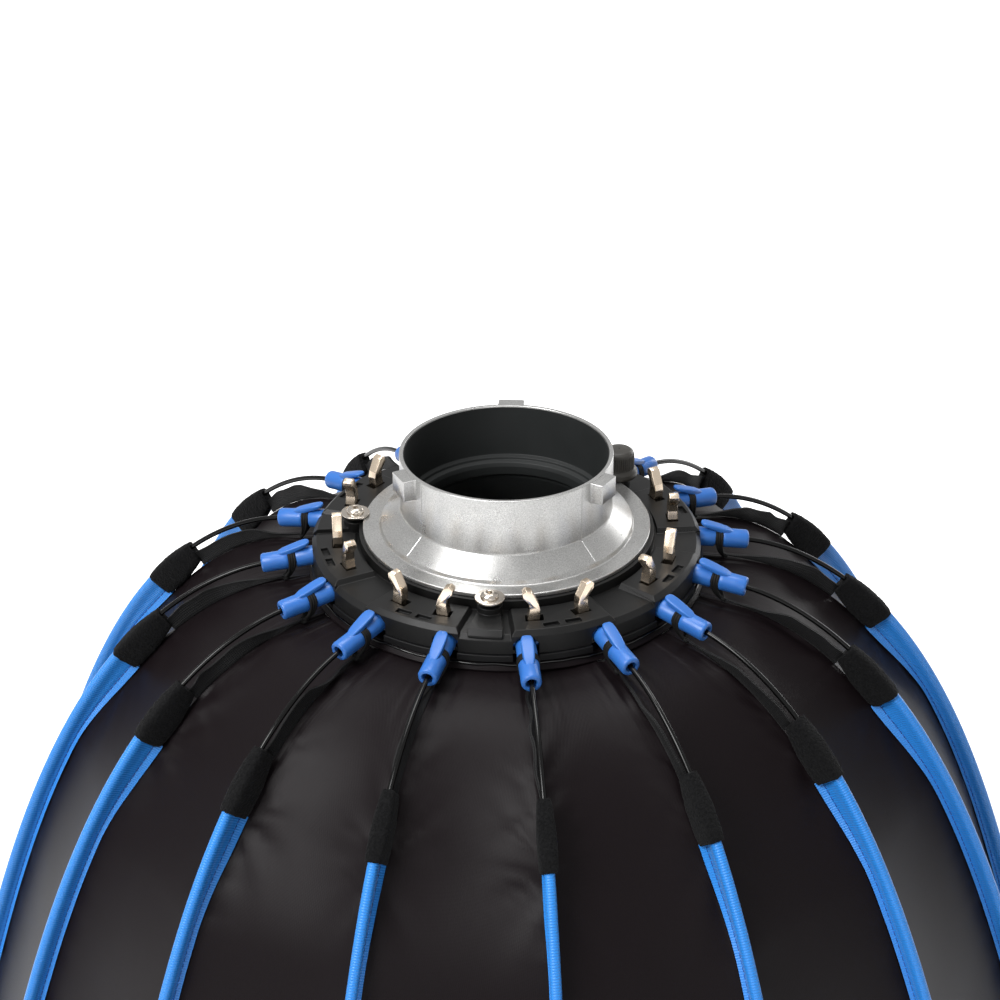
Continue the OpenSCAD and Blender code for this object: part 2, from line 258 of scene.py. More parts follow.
def fillet(points, radius, steps=4):
    """The outline with each corner rounded. A corner may give its own radius as a third number."""
    made = []
    count = len(points)
    for i, p in enumerate(points):
        here = Vector(p[:2])
        before = Vector(points[i - 1][:2]) - here
        after = Vector(points[(i + 1) % count][:2]) - here
        r = p[2] if len(p) > 2 else radius
        turn = math.pi - before.angle(after, math.pi)
        if r <= 0 or abs(turn) < 0.05:
            made.append(here)
            continue
        cut = min(r * math.tan(turn / 2), before.length * 0.45, after.length * 0.45)
        a, b = here + before.normalized() * cut, here + after.normalized() * cut
        for k in range(steps + 1):
            t = k / steps
            made.append(a * (1 - t) ** 2 + here * 2 * t * (1 - t) + b * t * t)
    return made


def revolved(name, outline, material, segments=96, wave=None, sharp=32):
    """A closed outline of (radius, height) turned about Z. wave(angle, r, z) may move a point's radius."""
    n, verts, faces = len(outline), [], []
    for i in range(segments):
        a = 2 * math.pi * i / segments
        for r, z in outline:
            out = r + (wave(a, r, z) if wave else 0)
            verts.append((out * math.cos(a), out * math.sin(a), z))
    for i in range(segments):
        j = (i + 1) % segments
        for k in range(n):
            m = (k + 1) % n
            faces.append((i * n + k, j * n + k, j * n + m, i * n + m))
    return closed(mesh_object(name, verts, faces, [material], sharp=sharp))


def closed(obj, merge=1e-7):
    """Merges doubles, drops what has no area and points the faces outwards."""
    bm = bmesh.new()
    bm.from_mesh(obj.data)
    bmesh.ops.remove_doubles(bm, verts=bm.verts, dist=merge)
    bmesh.ops.dissolve_degenerate(bm, dist=merge, edges=bm.edges)
    bmesh.ops.recalc_face_normals(bm, faces=bm.faces)
    bm.to_mesh(obj.data)
    bm.free()
    return obj


def skinned(name, rings, materials, caps, sharp):
    """Faces through rings of points that all have the same count, with or without end faces."""
    n = len(rings[0])
    verts = [p for ring in rings for p in ring]
    faces = [
        (i * n + k, i * n + (k + 1) % n, (i + 1) * n + (k + 1) % n, (i + 1) * n + k)
        for i in range(len(rings) - 1)
        for k in range(n)
    ]
    if caps:
        faces.append(list(range(n))[::-1])
        faces.append([(len(rings) - 1) * n + k for k in range(n)])
    return mesh_object(name, verts, faces, materials, sharp=sharp)


def lofted(name, rings, materials, caps=True, sharp=60):
    """A solid through rings of points, closed at both ends unless the rings run in a loop."""
    return closed(skinned(name, rings, materials, caps, sharp))


def tube(name, path, radius, material, sides=8, loop=False):
    """A round tube along a path of points, without twist."""
    count = len(path)
    rings = []
    side = None
    for i, p in enumerate(path):
        ahead = path[(i + 1) % count] if loop or i + 1 < count else p
        behind = path[i - 1] if loop or i else p
        along = (ahead - behind).normalized()
        if side is None:
            side = along.orthogonal().normalized()
        side = (side - along * side.dot(along)).normalized()
        up = along.cross(side)
        rings.append([
            p + radius * (math.cos(2 * math.pi * k / sides) * side + math.sin(2 * math.pi * k / sides) * up)
            for k in range(sides)
        ])
    if loop:
        rings.append(rings[0])
    return lofted(name, rings, [material], caps=not loop)


def smooth_path(points, steps=8):
    """Catmull-Rom points through a short list of given ones."""
    made = []
    ends = [points[0] * 2 - points[1], *points, points[-1] * 2 - points[-2]]
    for a, b, c, d in zip(ends, ends[1:], ends[2:], ends[3:]):
        for k in range(steps):
            t = k / steps
            made.append(
                0.5 * ((2 * b) + (c - a) * t + (2 * a - 5 * b + 4 * c - d) * t * t
                       + (3 * b - a - 3 * c + d) * t * t * t)
            )
    made.append(points[-1])
    return made


def with_modifier(obj, kind, **settings):
    """Adds one modifier, applies it through the evaluated mesh and removes it."""
    mod = obj.modifiers.new(kind.title(), kind)
    for key, value in settings.items():
        setattr(mod, key, value)
    return baked(obj)


def baked(obj):
    """Turns an object with modifiers into a plain mesh with none."""
    view = bpy.context.evaluated_depsgraph_get()
    mesh = bpy.data.meshes.new_from_object(obj.evaluated_get(view))
    old = obj.data
    obj.modifiers.clear()
    obj.data = mesh
    if old.users == 0:
        bpy.data.meshes.remove(old)
    return obj


def copy_of(obj, name, matrix):
    """A second object with its own mesh, moved by a matrix."""
    made = linked(name, obj.data.copy())
    made.data.transform(matrix)
    return made


def cad_copy(node, name, material, bevel):
    """A bevelled copy of a frame node's mesh with its own material."""
    obj = linked(name, frame["nodes"][node].data.copy())
    bm = bmesh.new()
    bm.from_mesh(obj.data)
    bmesh.ops.remove_doubles(bm, verts=bm.verts, dist=2e-6)
    bmesh.ops.dissolve_limit(bm, angle_limit=math.radians(0.6), verts=bm.verts, edges=bm.edges)
    bm.to_mesh(obj.data)
    bm.free()
    obj.data.materials.clear()
    obj.data.materials.append(material)
    obj.data.polygons.foreach_set("material_index", [0] * len(obj.data.polygons))
    with_modifier(
        obj, "BEVEL", width=bevel, segments=2, limit_method="ANGLE", angle_limit=math.radians(34),
        use_clamp_overlap=False, face_strength_mode="FSTR_AFFECTED",
    )
    shade_smooth(obj)
    return with_modifier(obj, "WEIGHTED_NORMAL", keep_sharp=True, use_face_influence=True, weight=80)


# ---------------------------------------------------------------- node trees that repeat small shapes
def new_tree(name, sockets):
    """A geometry node tree with named inputs, given as (label, socket type, value)."""
    tree = bpy.data.node_groups.new(name, "GeometryNodeTree")
    face = tree.interface
    face.new_socket("Geometry", in_out="INPUT", socket_type="NodeSocketGeometry")
    for label, kind, value in sockets:
        socket = face.new_socket(label, in_out="INPUT", socket_type=kind)
        if value is not None:
            socket.default_value = value
    face.new_socket("Geometry", in_out="OUTPUT", socket_type="NodeSocketGeometry")
    return tree


def add(tree, kind, **settings):
    """Adds a node and sets its properties, or the input sockets whose names match."""
    node = tree.nodes.new(kind)
    for key, value in settings.items():
        label = key.replace("_", " ")
        if label in node.inputs:
            node.inputs[label].default_value = value
        else:
            setattr(node, key, value)
    return node


def wire(tree, *links):
    """Links sockets, each given as a node, its output, the node that takes it and its input."""
    for giver, output, taker, socket in links:
        tree.links.new(giver.outputs[output], taker.inputs[socket])


def finish_tree(tree, instances, source):
    """Ends a tree in Realize Instances and Set Material."""
    real = add(tree, "GeometryNodeRealizeInstances")
    cover = add(tree, "GeometryNodeSetMaterial")
    out = add(tree, "NodeGroupOutput")
    tree.links.new(instances, real.inputs["Geometry"])
    wire(
        tree,
        (real, "Geometry", cover, "Geometry"), (source, "Material", cover, "Material"),
        (cover, "Geometry", out, "Geometry"),
    )


def run_tree(obj, tree, values):
    """Runs a tree on an object with the given inputs and leaves a plain mesh."""
    mod = obj.modifiers.new(tree.name, "NODES")
    mod.node_group = tree
    for item in tree.interface.items_tree:
        if item.in_out == "INPUT" and item.name in values:
            mod[item.identifier] = values[item.name]
    obj.update_tag()
    baked(obj)
    shade_smooth(obj)
    return obj


def stitch_tree():
    """Short threads along every edge path of the mesh that the tree runs on."""
    tree = new_tree("Stitches", [
        ("Spacing", "NodeSocketFloat", 3 * MM),
        ("Length", "NodeSocketFloat", 2.2 * MM),
        ("Thickness", "NodeSocketFloat", 0.3 * MM),
        ("Material", "NodeSocketMaterial", None),
    ])
    source = add(tree, "NodeGroupInput")
    curve = add(tree, "GeometryNodeMeshToCurve")
    spread = add(tree, "GeometryNodeResampleCurve", mode="LENGTH")
    thread = add(tree, "GeometryNodeMeshCylinder", Vertices=5)
    along = add(tree, "GeometryNodeInputTangent")
    turn = add(tree, "FunctionNodeAlignRotationToVector", axis="Z")
    place = add(tree, "GeometryNodeInstanceOnPoints")
    wire(
        tree,
        (source, "Geometry", curve, "Mesh"), (curve, "Curve", spread, "Curve"),
        (source, "Spacing", spread, "Length"), (source, "Thickness", thread, "Radius"),
        (source, "Length", thread, "Depth"), (along, "Tangent", turn, "Vector"),
        (spread, "Curve", place, "Points"), (thread, "Mesh", place, "Instance"),
        (turn, "Rotation", place, "Rotation"),
    )
    finish_tree(tree, place.outputs["Instances"], source)
    return tree


def circle_tree():
    """Copies of the mesh, once for each place round the axis."""
    tree = new_tree("Round the axis", [
        ("Count", "NodeSocketInt", 8),
        ("Radius", "NodeSocketFloat", PLATE_SCREW_R),
        ("Height", "NodeSocketFloat", 0.0),
        ("Phase", "NodeSocketFloat", 0.0),
        ("Material", "NodeSocketMaterial", None),
    ])
    source = add(tree, "NodeGroupInput")
    circle = add(tree, "GeometryNodeMeshCircle")
    phase = add(tree, "ShaderNodeCombineXYZ")
    height = add(tree, "ShaderNodeCombineXYZ")
    move = add(tree, "GeometryNodeTransform")
    place = add(tree, "GeometryNodeInstanceOnPoints")
    wire(
        tree,
        (source, "Count", circle, "Vertices"), (source, "Radius", circle, "Radius"),
        (source, "Phase", phase, "Z"), (source, "Height", height, "Z"),
        (circle, "Mesh", move, "Geometry"), (height, "Vector", move, "Translation"),
        (phase, "Vector", move, "Rotation"), (move, "Geometry", place, "Points"),
        (source, "Geometry", place, "Instance"),
    )
    finish_tree(tree, place.outputs["Instances"], source)
    return tree


# The trees that more than one piece runs, made once by main()
SHARED = {}


def wall_tree():
    """A standing strip of cloth along every edge of the mesh."""
    tree = new_tree("Cell walls", [
        ("Wall thickness", "NodeSocketFloat", 1.2 * MM),
        ("Depth", "NodeSocketFloat", 35 * MM),
        ("Material", "NodeSocketMaterial", None),
    ])
    source = add(tree, "NodeGroupInput")
    curve = add(tree, "GeometryNodeMeshToCurve")
    upright = add(tree, "GeometryNodeSetCurveNormal", mode="Z_UP")
    section = add(tree, "GeometryNodeCurvePrimitiveQuadrilateral")
    walls = add(tree, "GeometryNodeCurveToMesh", Fill_Caps=True)
    wire(
        tree,
        (source, "Geometry", curve, "Mesh"), (curve, "Curve", upright, "Curve"),
        (source, "Wall thickness", section, "Width"), (source, "Depth", section, "Height"),
        (upright, "Curve", walls, "Curve"), (section, "Curve", walls, "Profile Curve"),
    )
    finish_tree(tree, walls.outputs["Mesh"], source)
    return tree


# ---------------------------------------------------------------- shared shader groups
def shade_group(name, sockets, outputs):
    """A shader node group with (label, socket type, value) inputs and (label, socket type) outputs."""
    group = bpy.data.node_groups.new(name, "ShaderNodeTree")
    for label, kind, value in sockets:
        socket = group.interface.new_socket(label, in_out="INPUT", socket_type=kind)
        if value is not None:
            socket.default_value = value
    for label, kind in outputs:
        group.interface.new_socket(label, in_out="OUTPUT", socket_type=kind)
    return group, add(group, "NodeGroupInput"), add(group, "NodeGroupOutput")


def grain_group():
    """Fine moulded or cast grain and a slow patchiness, both read at a point of the object."""
    group, source, out = shade_group(
        "Grain",
        [("Vector", "NodeSocketVector", None), ("Grain size", "NodeSocketFloat", 0.4 * MM),
         ("Patch size", "NodeSocketFloat", 14 * MM)],
        [("Grain", "NodeSocketFloat"), ("Patch", "NodeSocketFloat")],
    )
    for label, size, detail in (("Grain", "Grain size", 3.0), ("Patch", "Patch size", 2.0)):
        scale = add(group, "ShaderNodeMath", operation="DIVIDE")
        scale.inputs[0].default_value = 1.0
        texture = add(group, "ShaderNodeTexNoise", Detail=detail, Roughness=0.55)
        wire(
            group,
            (source, size, scale, 1), (scale, 0, texture, "Scale"),
            (source, "Vector", texture, "Vector"), (texture, "Fac", out, label),
        )
    return group


def cloth_group():
    """Threads across and along a cloth's own map, and a loose variation between them."""
    group, source, out = shade_group(
        "Cloth",
        [("UV", "NodeSocketVector", None), ("Across", "NodeSocketFloat", 0.5 * MM),
         ("Along", "NodeSocketFloat", 0.5 * MM)],
        [("Height", "NodeSocketFloat"), ("Slub", "NodeSocketFloat")],
    )
    split = add(group, "ShaderNodeSeparateXYZ")
    wire(group, (source, "UV", split, "Vector"))
    waves = []
    for axis, label in (("X", "Across"), ("Y", "Along")):
        turns = add(group, "ShaderNodeMath", operation="DIVIDE")
        wave = add(group, "ShaderNodeMath", operation="SINE")
        round_off = add(group, "ShaderNodeMath", operation="MULTIPLY")
        round_off.inputs[1].default_value = 2 * math.pi
        wire(
            group,
            (split, axis, turns, 0), (source, label, turns, 1), (turns, 0, round_off, 0),
            (round_off, 0, wave, 0),
        )
        waves.append(wave)
    both = add(group, "ShaderNodeMath", operation="ADD")
    wire(group, (waves[0], 0, both, 0), (waves[1], 0, both, 1))
    slub = add(group, "ShaderNodeTexNoise", Scale=900.0, Detail=2.0)
    wire(
        group,
        (source, "UV", slub, "Vector"), (both, 0, out, "Height"), (slub, "Fac", out, "Slub"),
    )
    return group


# ---------------------------------------------------------------- materials
def linear(red, green, blue):
    """Linear colour from display values of 0 to 255."""
    def one(value):
        v = value / 255
        return v / 12.92 if v <= 0.04045 else ((v + 0.055) / 1.055) ** 2.4
    return (one(red), one(green), one(blue), 1.0)


class Paint:
    """One material and the short cuts used while it is wired."""

    def __init__(self, name, color, **sockets):
        self.material = bpy.data.materials.new(name)
        self.material.use_nodes = True
        self.tree = self.material.node_tree
        self.surface = self.tree.nodes["Principled BSDF"]
        self.surface.inputs["Base Color"].default_value = color
        for key, value in sockets.items():
            self.surface.inputs[key.replace("_", " ")].default_value = value

    def link(self, a, b):
        self.tree.links.new(a, b)

    def group(self, group, reads, **values):
        """Adds a shared group fed by the object's place or the piece's own map."""
        node = add(self.tree, "ShaderNodeGroup", node_tree=group)
        for key, value in values.items():
            node.inputs[key.replace("_", " ")].default_value = value
        coords = add(self.tree, "ShaderNodeTexCoord")
        self.link(coords.outputs[reads], node.inputs[0])
        return node

    def bump(self, height, distance, strength=1.0):
        """Adds relief, on top of any that is there."""
        node = add(self.tree, "ShaderNodeBump", Distance=distance, Strength=strength)
        self.link(height, node.inputs["Height"])
        socket = self.surface.inputs["Normal"]
        if socket.links:
            self.link(socket.links[0].from_socket, node.inputs["Normal"])
        self.link(node.outputs["Normal"], socket)

    def vary(self, mask, socket, low, high):
        """Drives a value socket from a mask, between two values."""
        node = add(self.tree, "ShaderNodeMapRange")
        node.inputs["From Min"].default_value, node.inputs["From Max"].default_value = 0.3, 0.7
        node.inputs["To Min"].default_value, node.inputs["To Max"].default_value = low, high
        self.link(mask, node.inputs["Value"])
        self.link(node.outputs["Result"], self.surface.inputs[socket])

    def mix_color(self, mask, low, high):
        """Drives the base colour from a mask, between two colours."""
        ramp = add(self.tree, "ShaderNodeValToRGB")
        ramp.color_ramp.elements[0].position, ramp.color_ramp.elements[0].color = 0.32, low
        ramp.color_ramp.elements[1].position, ramp.color_ramp.elements[1].color = 0.68, high
        self.link(mask, ramp.inputs["Fac"])
        self.link(ramp.outputs["Color"], self.surface.inputs["Base Color"])


PAINTS = {}


def paint(name):
    """The material of that name."""
    return PAINTS[name]


def make_paints():
    """All materials, with the groups that they share."""
    grain, cloth = grain_group(), cloth_group()

    def hard(name, color, rough, size, depth, spread=0.05, **sockets):
        p = Paint(name, color, **sockets)
        g = p.group(grain, "Object", Grain_size=size)
        p.bump(g.outputs["Grain"], depth)
        p.vary(g.outputs["Patch"], "Roughness", rough - spread, rough + spread)
        PAINTS[name] = p.material
        return p, g

    def woven(name, color, rough, across, along, depth, **sockets):
        p = Paint(name, color, Roughness=rough, **sockets)
        g = p.group(cloth, "UV", Across=across, Along=along)
        p.bump(g.outputs["Height"], depth)
        p.bump(g.outputs["Slub"], depth)
        PAINTS[name] = p.material
        return p, g

    hard("ring_black", linear(19, 19, 19), 0.42, 0.35 * MM, 0.012 * MM, Specular_IOR_Level=0.25)
    hard("plate_black", linear(16, 16, 17), 0.44, 0.35 * MM, 0.012 * MM, Specular_IOR_Level=0.25)
    hard("piping", linear(14, 14, 15), 0.16, 2 * MM, 0.05 * MM, 0.03)
    hard("knob", linear(62, 60, 56), 0.42, 0.3 * MM, 0.02 * MM, Specular_IOR_Level=0.4)
    hard("steel", linear(196, 188, 178), 0.24, 0.5 * MM, 0.002 * MM, 0.04, Metallic=1.0)
    hard("lever", linear(236, 218, 196), 0.24, 1.2 * MM, 0.001 * MM, 0.04, Metallic=1.0)
    p, g = hard("cast", linear(186, 186, 184), 0.31, 0.45 * MM, 0.035 * MM, 0.05, Metallic=0.9)
    p.mix_color(g.outputs["Grain"], linear(160, 159, 158), linear(200, 200, 198))
    hard("throat", linear(36, 38, 38), 0.55, 0.5 * MM, 0.02 * MM, Specular_IOR_Level=0.35)
    hard("cap", linear(50, 110, 190), 0.36, 1.0 * MM, 0.01 * MM, 0.04, Subsurface_Weight=0.08,
         Subsurface_Scale=2 * MM)
    hard("rod", linear(6, 6, 6), 0.16, 3 * MM, 0.004 * MM, 0.04, Specular_IOR_Level=0.25)
    hard("thread_blue", linear(24, 72, 150), 0.6, 0.4 * MM, 0.02 * MM)
    hard("thread_black", linear(16, 16, 17), 0.7, 0.4 * MM, 0.02 * MM)
    woven("sleeve", linear(38, 134, 222), 0.42, 1.15 * MM, 40 * MM, 0.07 * MM, Sheen_Weight=0.15,
          Sheen_Roughness=0.4)
    woven("nylon", linear(19, 14, 16), 0.42, 0.55 * MM, 0.55 * MM, 0.006 * MM, Specular_IOR_Level=0.1,
          Sheen_Weight=0.01, Sheen_Roughness=0.35)
    woven("lining", linear(200, 201, 203), 0.3, 0.7 * MM, 0.7 * MM, 0.03 * MM, Metallic=0.8)
    woven("tape", linear(13, 13, 14), 0.62, 0.9 * MM, 0.9 * MM, 0.04 * MM, Specular_IOR_Level=0.25,
          Sheen_Weight=0.03)
    woven("elastic", linear(14, 14, 14), 0.7, 0.8 * MM, 2.0 * MM, 0.1 * MM, Specular_IOR_Level=0.25)
    woven("grid_cloth", linear(17, 17, 18), 0.75, 0.7 * MM, 0.7 * MM, 0.03 * MM, Specular_IOR_Level=0.3)
    woven("diffuser", linear(240, 240, 238), 0.7, 0.5 * MM, 0.5 * MM, 0.02 * MM,
          Transmission_Weight=0.15)
    p, g = hard("loop_tab", linear(6, 6, 7), 0.9, 1.1 * MM, 0.9 * MM, 0.05, Specular_IOR_Level=0.15,
                Sheen_Weight=0.02, Sheen_Roughness=0.6)
    p.mix_color(g.outputs["Grain"], linear(1, 1, 2), linear(17, 17, 18))


# ---------------------------------------------------------------- the speed ring
def build_ring():
    """The ring housing and its base plate, taken from the frame with softened edges."""
    ring = cad_copy("ring_housing", "speed_ring_housing", paint("ring_black"), 0.3 * MM)
    piece(ring, "speed_ring", "ring_black", "ring_housing")
    plate = cad_copy("ring_base_plate", "speed_ring_plate", paint("plate_black"), 0.3 * MM)
    piece(plate, "speed_ring", "plate_black", "ring_base_plate")


def button_head(name, height, material):
    """A button-head screw on the Z axis, with a hexagon socket, its seat at a height."""
    sides = 48
    profile = [(4.1, 0.0), (4.15, 0.5), (3.9, 1.2), (3.3, 1.9), (2.5, 2.3), (1.75, 2.42), (1.55, 2.35)]
    rings = [[on_circle(r * MM, k, sides, height + z * MM) for k in range(sides)] for r, z in profile]
    for depth in (2.25, 0.9):
        ring = []
        for k in range(sides):
            a = 2 * math.pi * k / sides
            flat = 1.2 * MM / math.cos((a % (math.pi / 3)) - math.pi / 6)
            ring.append(on_circle(flat, k, sides, height + depth * MM))
        rings.append(ring)
    return lofted(name, rings, [material], sharp=30)


def build_fasteners():
    """Clamp screws, plate screws and clamp washers."""
    steel = paint("steel")
    parts = []
    for azimuth in CLAMP_AZIMUTHS:
        here = around(azimuth) @ Matrix.Translation((CLAMP_R, 0, 0))
        head = button_head("head", FLANGE_Z + 1.4 * MM, steel)
        shank = revolved("shank", [
            (0.2 * MM, RING_Z + 2.2 * MM), (1.6 * MM, RING_Z + 2.2 * MM),
            (1.6 * MM, FLANGE_Z + 1.5 * MM), (0.2 * MM, FLANGE_Z + 1.5 * MM)], steel, 20)
        for o in (head, shank):
            o.data.transform(here)
            parts.append(o)
    plate_screw = revolved("plate_screw", fillet([
        (0.15 * MM, 1.2 * MM, 0), (0.15 * MM, 0.7 * MM, 0), (1.2 * MM, 0.7 * MM, 0), (1.3 * MM, 0.0),
        (2.7 * MM, 0.0), (2.9 * MM, 0.5 * MM), (1.5 * MM, 1.9 * MM), (1.5 * MM, 3.2 * MM),
        (0.15 * MM, 3.2 * MM, 0),
    ], 0.2 * MM, 2), steel, 20)
    run_tree(plate_screw, circle_tree(), {
        "Count": len(RIBS) // 2, "Radius": PLATE_SCREW_R, "Height": PLATE_Z + 0.2 * MM,
        "Phase": math.radians(RIBS[0].azimuth + RIB_PITCH / 2 - 90), "Material": steel,
    })
    plate_screw.data.set_sharp_from_angle(angle=math.radians(32))
    parts.append(plate_screw)
    piece(merged("screws", *parts), "speed_ring", "bright_steel", "ring_screws")

    washers = []
    for azimuth in CLAMP_AZIMUTHS:
        base = FLANGE_Z + 0.2 * MM
        washer = revolved("washer", fillet([
            (1.7 * MM, base, 0), (6.7 * MM, base), (6.7 * MM, base + 1.2 * MM),
            (1.7 * MM, base + 1.2 * MM, 0)], 0.35 * MM, 3), steel, 64)
        spacer = revolved("spacer", fillet([
            (1.7 * MM, FLANGE_Z - 2.0 * MM, 0), (3.9 * MM, FLANGE_Z - 2.0 * MM), (3.9 * MM, base, 0),
            (1.7 * MM, base, 0)], 0.3 * MM, 3), paint("plate_black"), 40)
        for o in (washer, spacer):
            o.data.transform(around(azimuth) @ Matrix.Translation((CLAMP_R, 0, 0)))
            washers.append(o)
    piece(merged("clamp_washer_pair", *washers), "speed_ring", "bright_steel", "clamp_washers")


def build_knob():
    """The knurled knob and its stud."""
    low = FLANGE_Z + 0.2 * MM
    outline = fillet([(r * MM, low + z * MM, f * MM) for r, z, f in (
        (3, -2.0, 0), (3, 0, 0), (8.7, 0, 0.5), (9.1, 1.4, 1.0), (8.9, 3.0, 1.0), (7.5, 4.4, 0.8),
        (7.3, 5.2, 0.2), (7.3, 8, 0), (7.2, 11.2, 0.3), (6.9, 12.6, 1.2), (5.6, 13.7, 1.2), (2.4, 14.2, 1.0),
        (0.3, 14.2, 0), (0.3, -2.0, 0))], 0.3 * MM, 4)
    knurled_from, knurled_to, flutes = low + 4.6 * MM, low + 11.4 * MM, 44

    def knurl(angle, r, z):
        if r > 7 * MM and knurled_from < z < knurled_to:
            return 0.5 * MM * (abs(math.sin(flutes / 2 * angle)) - 0.6)
        return 0.0

    knob = revolved("thumb_knob", outline, paint("knob"), 312, knurl, sharp=50)
    stud = revolved("stud", [(0.3 * MM, PLATE_Z + 0.4 * MM), (3 * MM, PLATE_Z + 0.4 * MM),
                             (3 * MM, low), (0.3 * MM, low)], paint("steel"), 32)
    both = merged("lock_knob_and_stud", knob, stud)
    both.data.transform(around(KNOB_AZIMUTH) @ Matrix.Translation((CLAMP_R, 0, 0)))
    piece(both, "knob", "knob_charcoal", "lock_knob")


# ---------------------------------------------------------------- the bayonet collar
def lug(material):
    """One bayonet lug, standing out of the collar on its local X, with a cast foot."""
    rings = []
    for x, grow, round_off in ((47.2, 0.25, 0.5), (49.0, 0.25, 0.5), (49.3, 0.05, 0.4), (49.8, 0, 0.4),
                               (54.1, -0.1, 0.4), (54.35, -0.2, 0.4), (54.5, -0.5, 0.4)):
        half, low, high = 6.2 + grow, -10.2 - grow, -0.4
        corners = [(-half, low), (half, low), (half, high), (-half, high)]
        rings.append([Vector((x * MM, p.x * MM, TOP + p.y * MM)) for p in fillet(corners, round_off, 4)])
    return lofted("lug", rings, [material], sharp=30)


def build_collar():
    """The casting: outside, dark throat, lugs and mould lines."""
    cast, throat = paint("cast"), paint("throat")

    def profile(points, radius=0.4):
        placed = [(r * MM, TOP - drop * MM, *(f * MM for f in own)) for r, drop, *own in points]
        return fillet(placed, radius * MM, 4)

    outside = profile([
        (46.9, 0.9, 0), (47.2, 0.0, 0.3), (49, 0.0, 0.5), (49, 27.0, 2.0), (58.2, 34.6, 0.8),
        (58.8, 36.7, 0.9), (66.7, 36.7, 0.5), (66.7, 38.7, 0.3), (57.9, 38.7, 0.2), (57.9, 55.5, 0.5),
        (56.9, 55.5, 0), (56.9, 36.0, 0), (46.9, 28.0, 0)])
    inside = profile([
        (46.95, 0.8, 0), (46.7, 0.6, 0.2), (46.7, 25.6, 0.6), (44.8, 26.2, 0.4), (44.6, 27.4, 0.4),
        (42.6, 28.0, 0.5), (42.0, 30.0, 0.5), (42.0, 34.0, 0.5), (44.2, 35.4, 0.4), (44.2, 37.0, 0.4),
        (53.9, 55.5, 0.5), (56.95, 55.5, 0), (56.95, 36.0, 0), (46.95, 28.0, 0)])
    body = revolved("outside", outside, cast, 192)
    bore = revolved("inside", inside, throat, 192)
    parts = [body, bore]
    for azimuth in LUG_AZIMUTHS:
        one = lug(cast)
        one.data.transform(around(azimuth))
        parts.append(one)
    # Thin raised lines where the casting's moulds met
    for azimuth in MOULD_LINE_AZIMUTHS:
        path = [Vector((r * MM, 0, TOP - d * MM)) for r, d in
                ((49.0, 0.8), (49.0, 14), (49.0, 25.8), (49.8, 27.6), (53.5, 30.8), (57.6, 34.3))]
        seam = tube("mould_line", smooth_path(path, 4), 0.22 * MM, cast, 6)
        seam.data.transform(around(azimuth))
        parts.append(seam)
    piece(merged("mount_collar", *parts), "mount_adapter", "cast_alloy", "bayonet_adapter")


# ---------------------------------------------------------------- levers, caps and rods
def build_levers():
    """The bent finger levers, one for each rib, leaning over the pair's middle."""
    outline = [(2.1, -5, 0), (2.6, 0.5, 1), (1.75, 4.5, 2), (2.3, 8, 3), (4.9, 11.4, 1.2), (5.0, 13.3, 0.8),
               (3.3, 14.5, 0.7), (1.0, 13.8, 1.0), (-2.2, 7.6, 3), (-2.9, 4.5, 2), (-2.6, 0.5, 1),
               (-2.1, -5, 0)]
    line = fillet([(p[0] * MM, p[1] * MM, p[2] * MM) for p in outline], 0, 5)
    middle = Vector((sum(p.x for p in line), sum(p.y for p in line))) / len(line)
    inner = LEVER_R - LEVER_DEPTH / 2
    edge = ((0, 0.45), (0.13 * MM, 0.13), (0.45 * MM, 0))
    section = edge + tuple((LEVER_DEPTH - x, shrink) for x, shrink in reversed(edge))
    for rib in RIBS:
        rings = []
        for x, shrink in section:
            ring = []
            for p in line:
                inwards = middle - p
                q = p + inwards.normalized() * min(shrink * MM, inwards.length * 0.4)
                ring.append(Vector((inner + x, rib.inward * LEVER_SHIFT - rib.inward * q.x, POD_Z + q.y)))
            rings.append(ring)
        obj = lofted(f"finger_lever_{rib.number:02d}", rings, [paint("lever")], sharp=40)
        obj.data.transform(rib.turn)
        piece(obj, f"finger_{rib.number:02d}", "lever_nickel", f"lever_{rib.number:02d}")


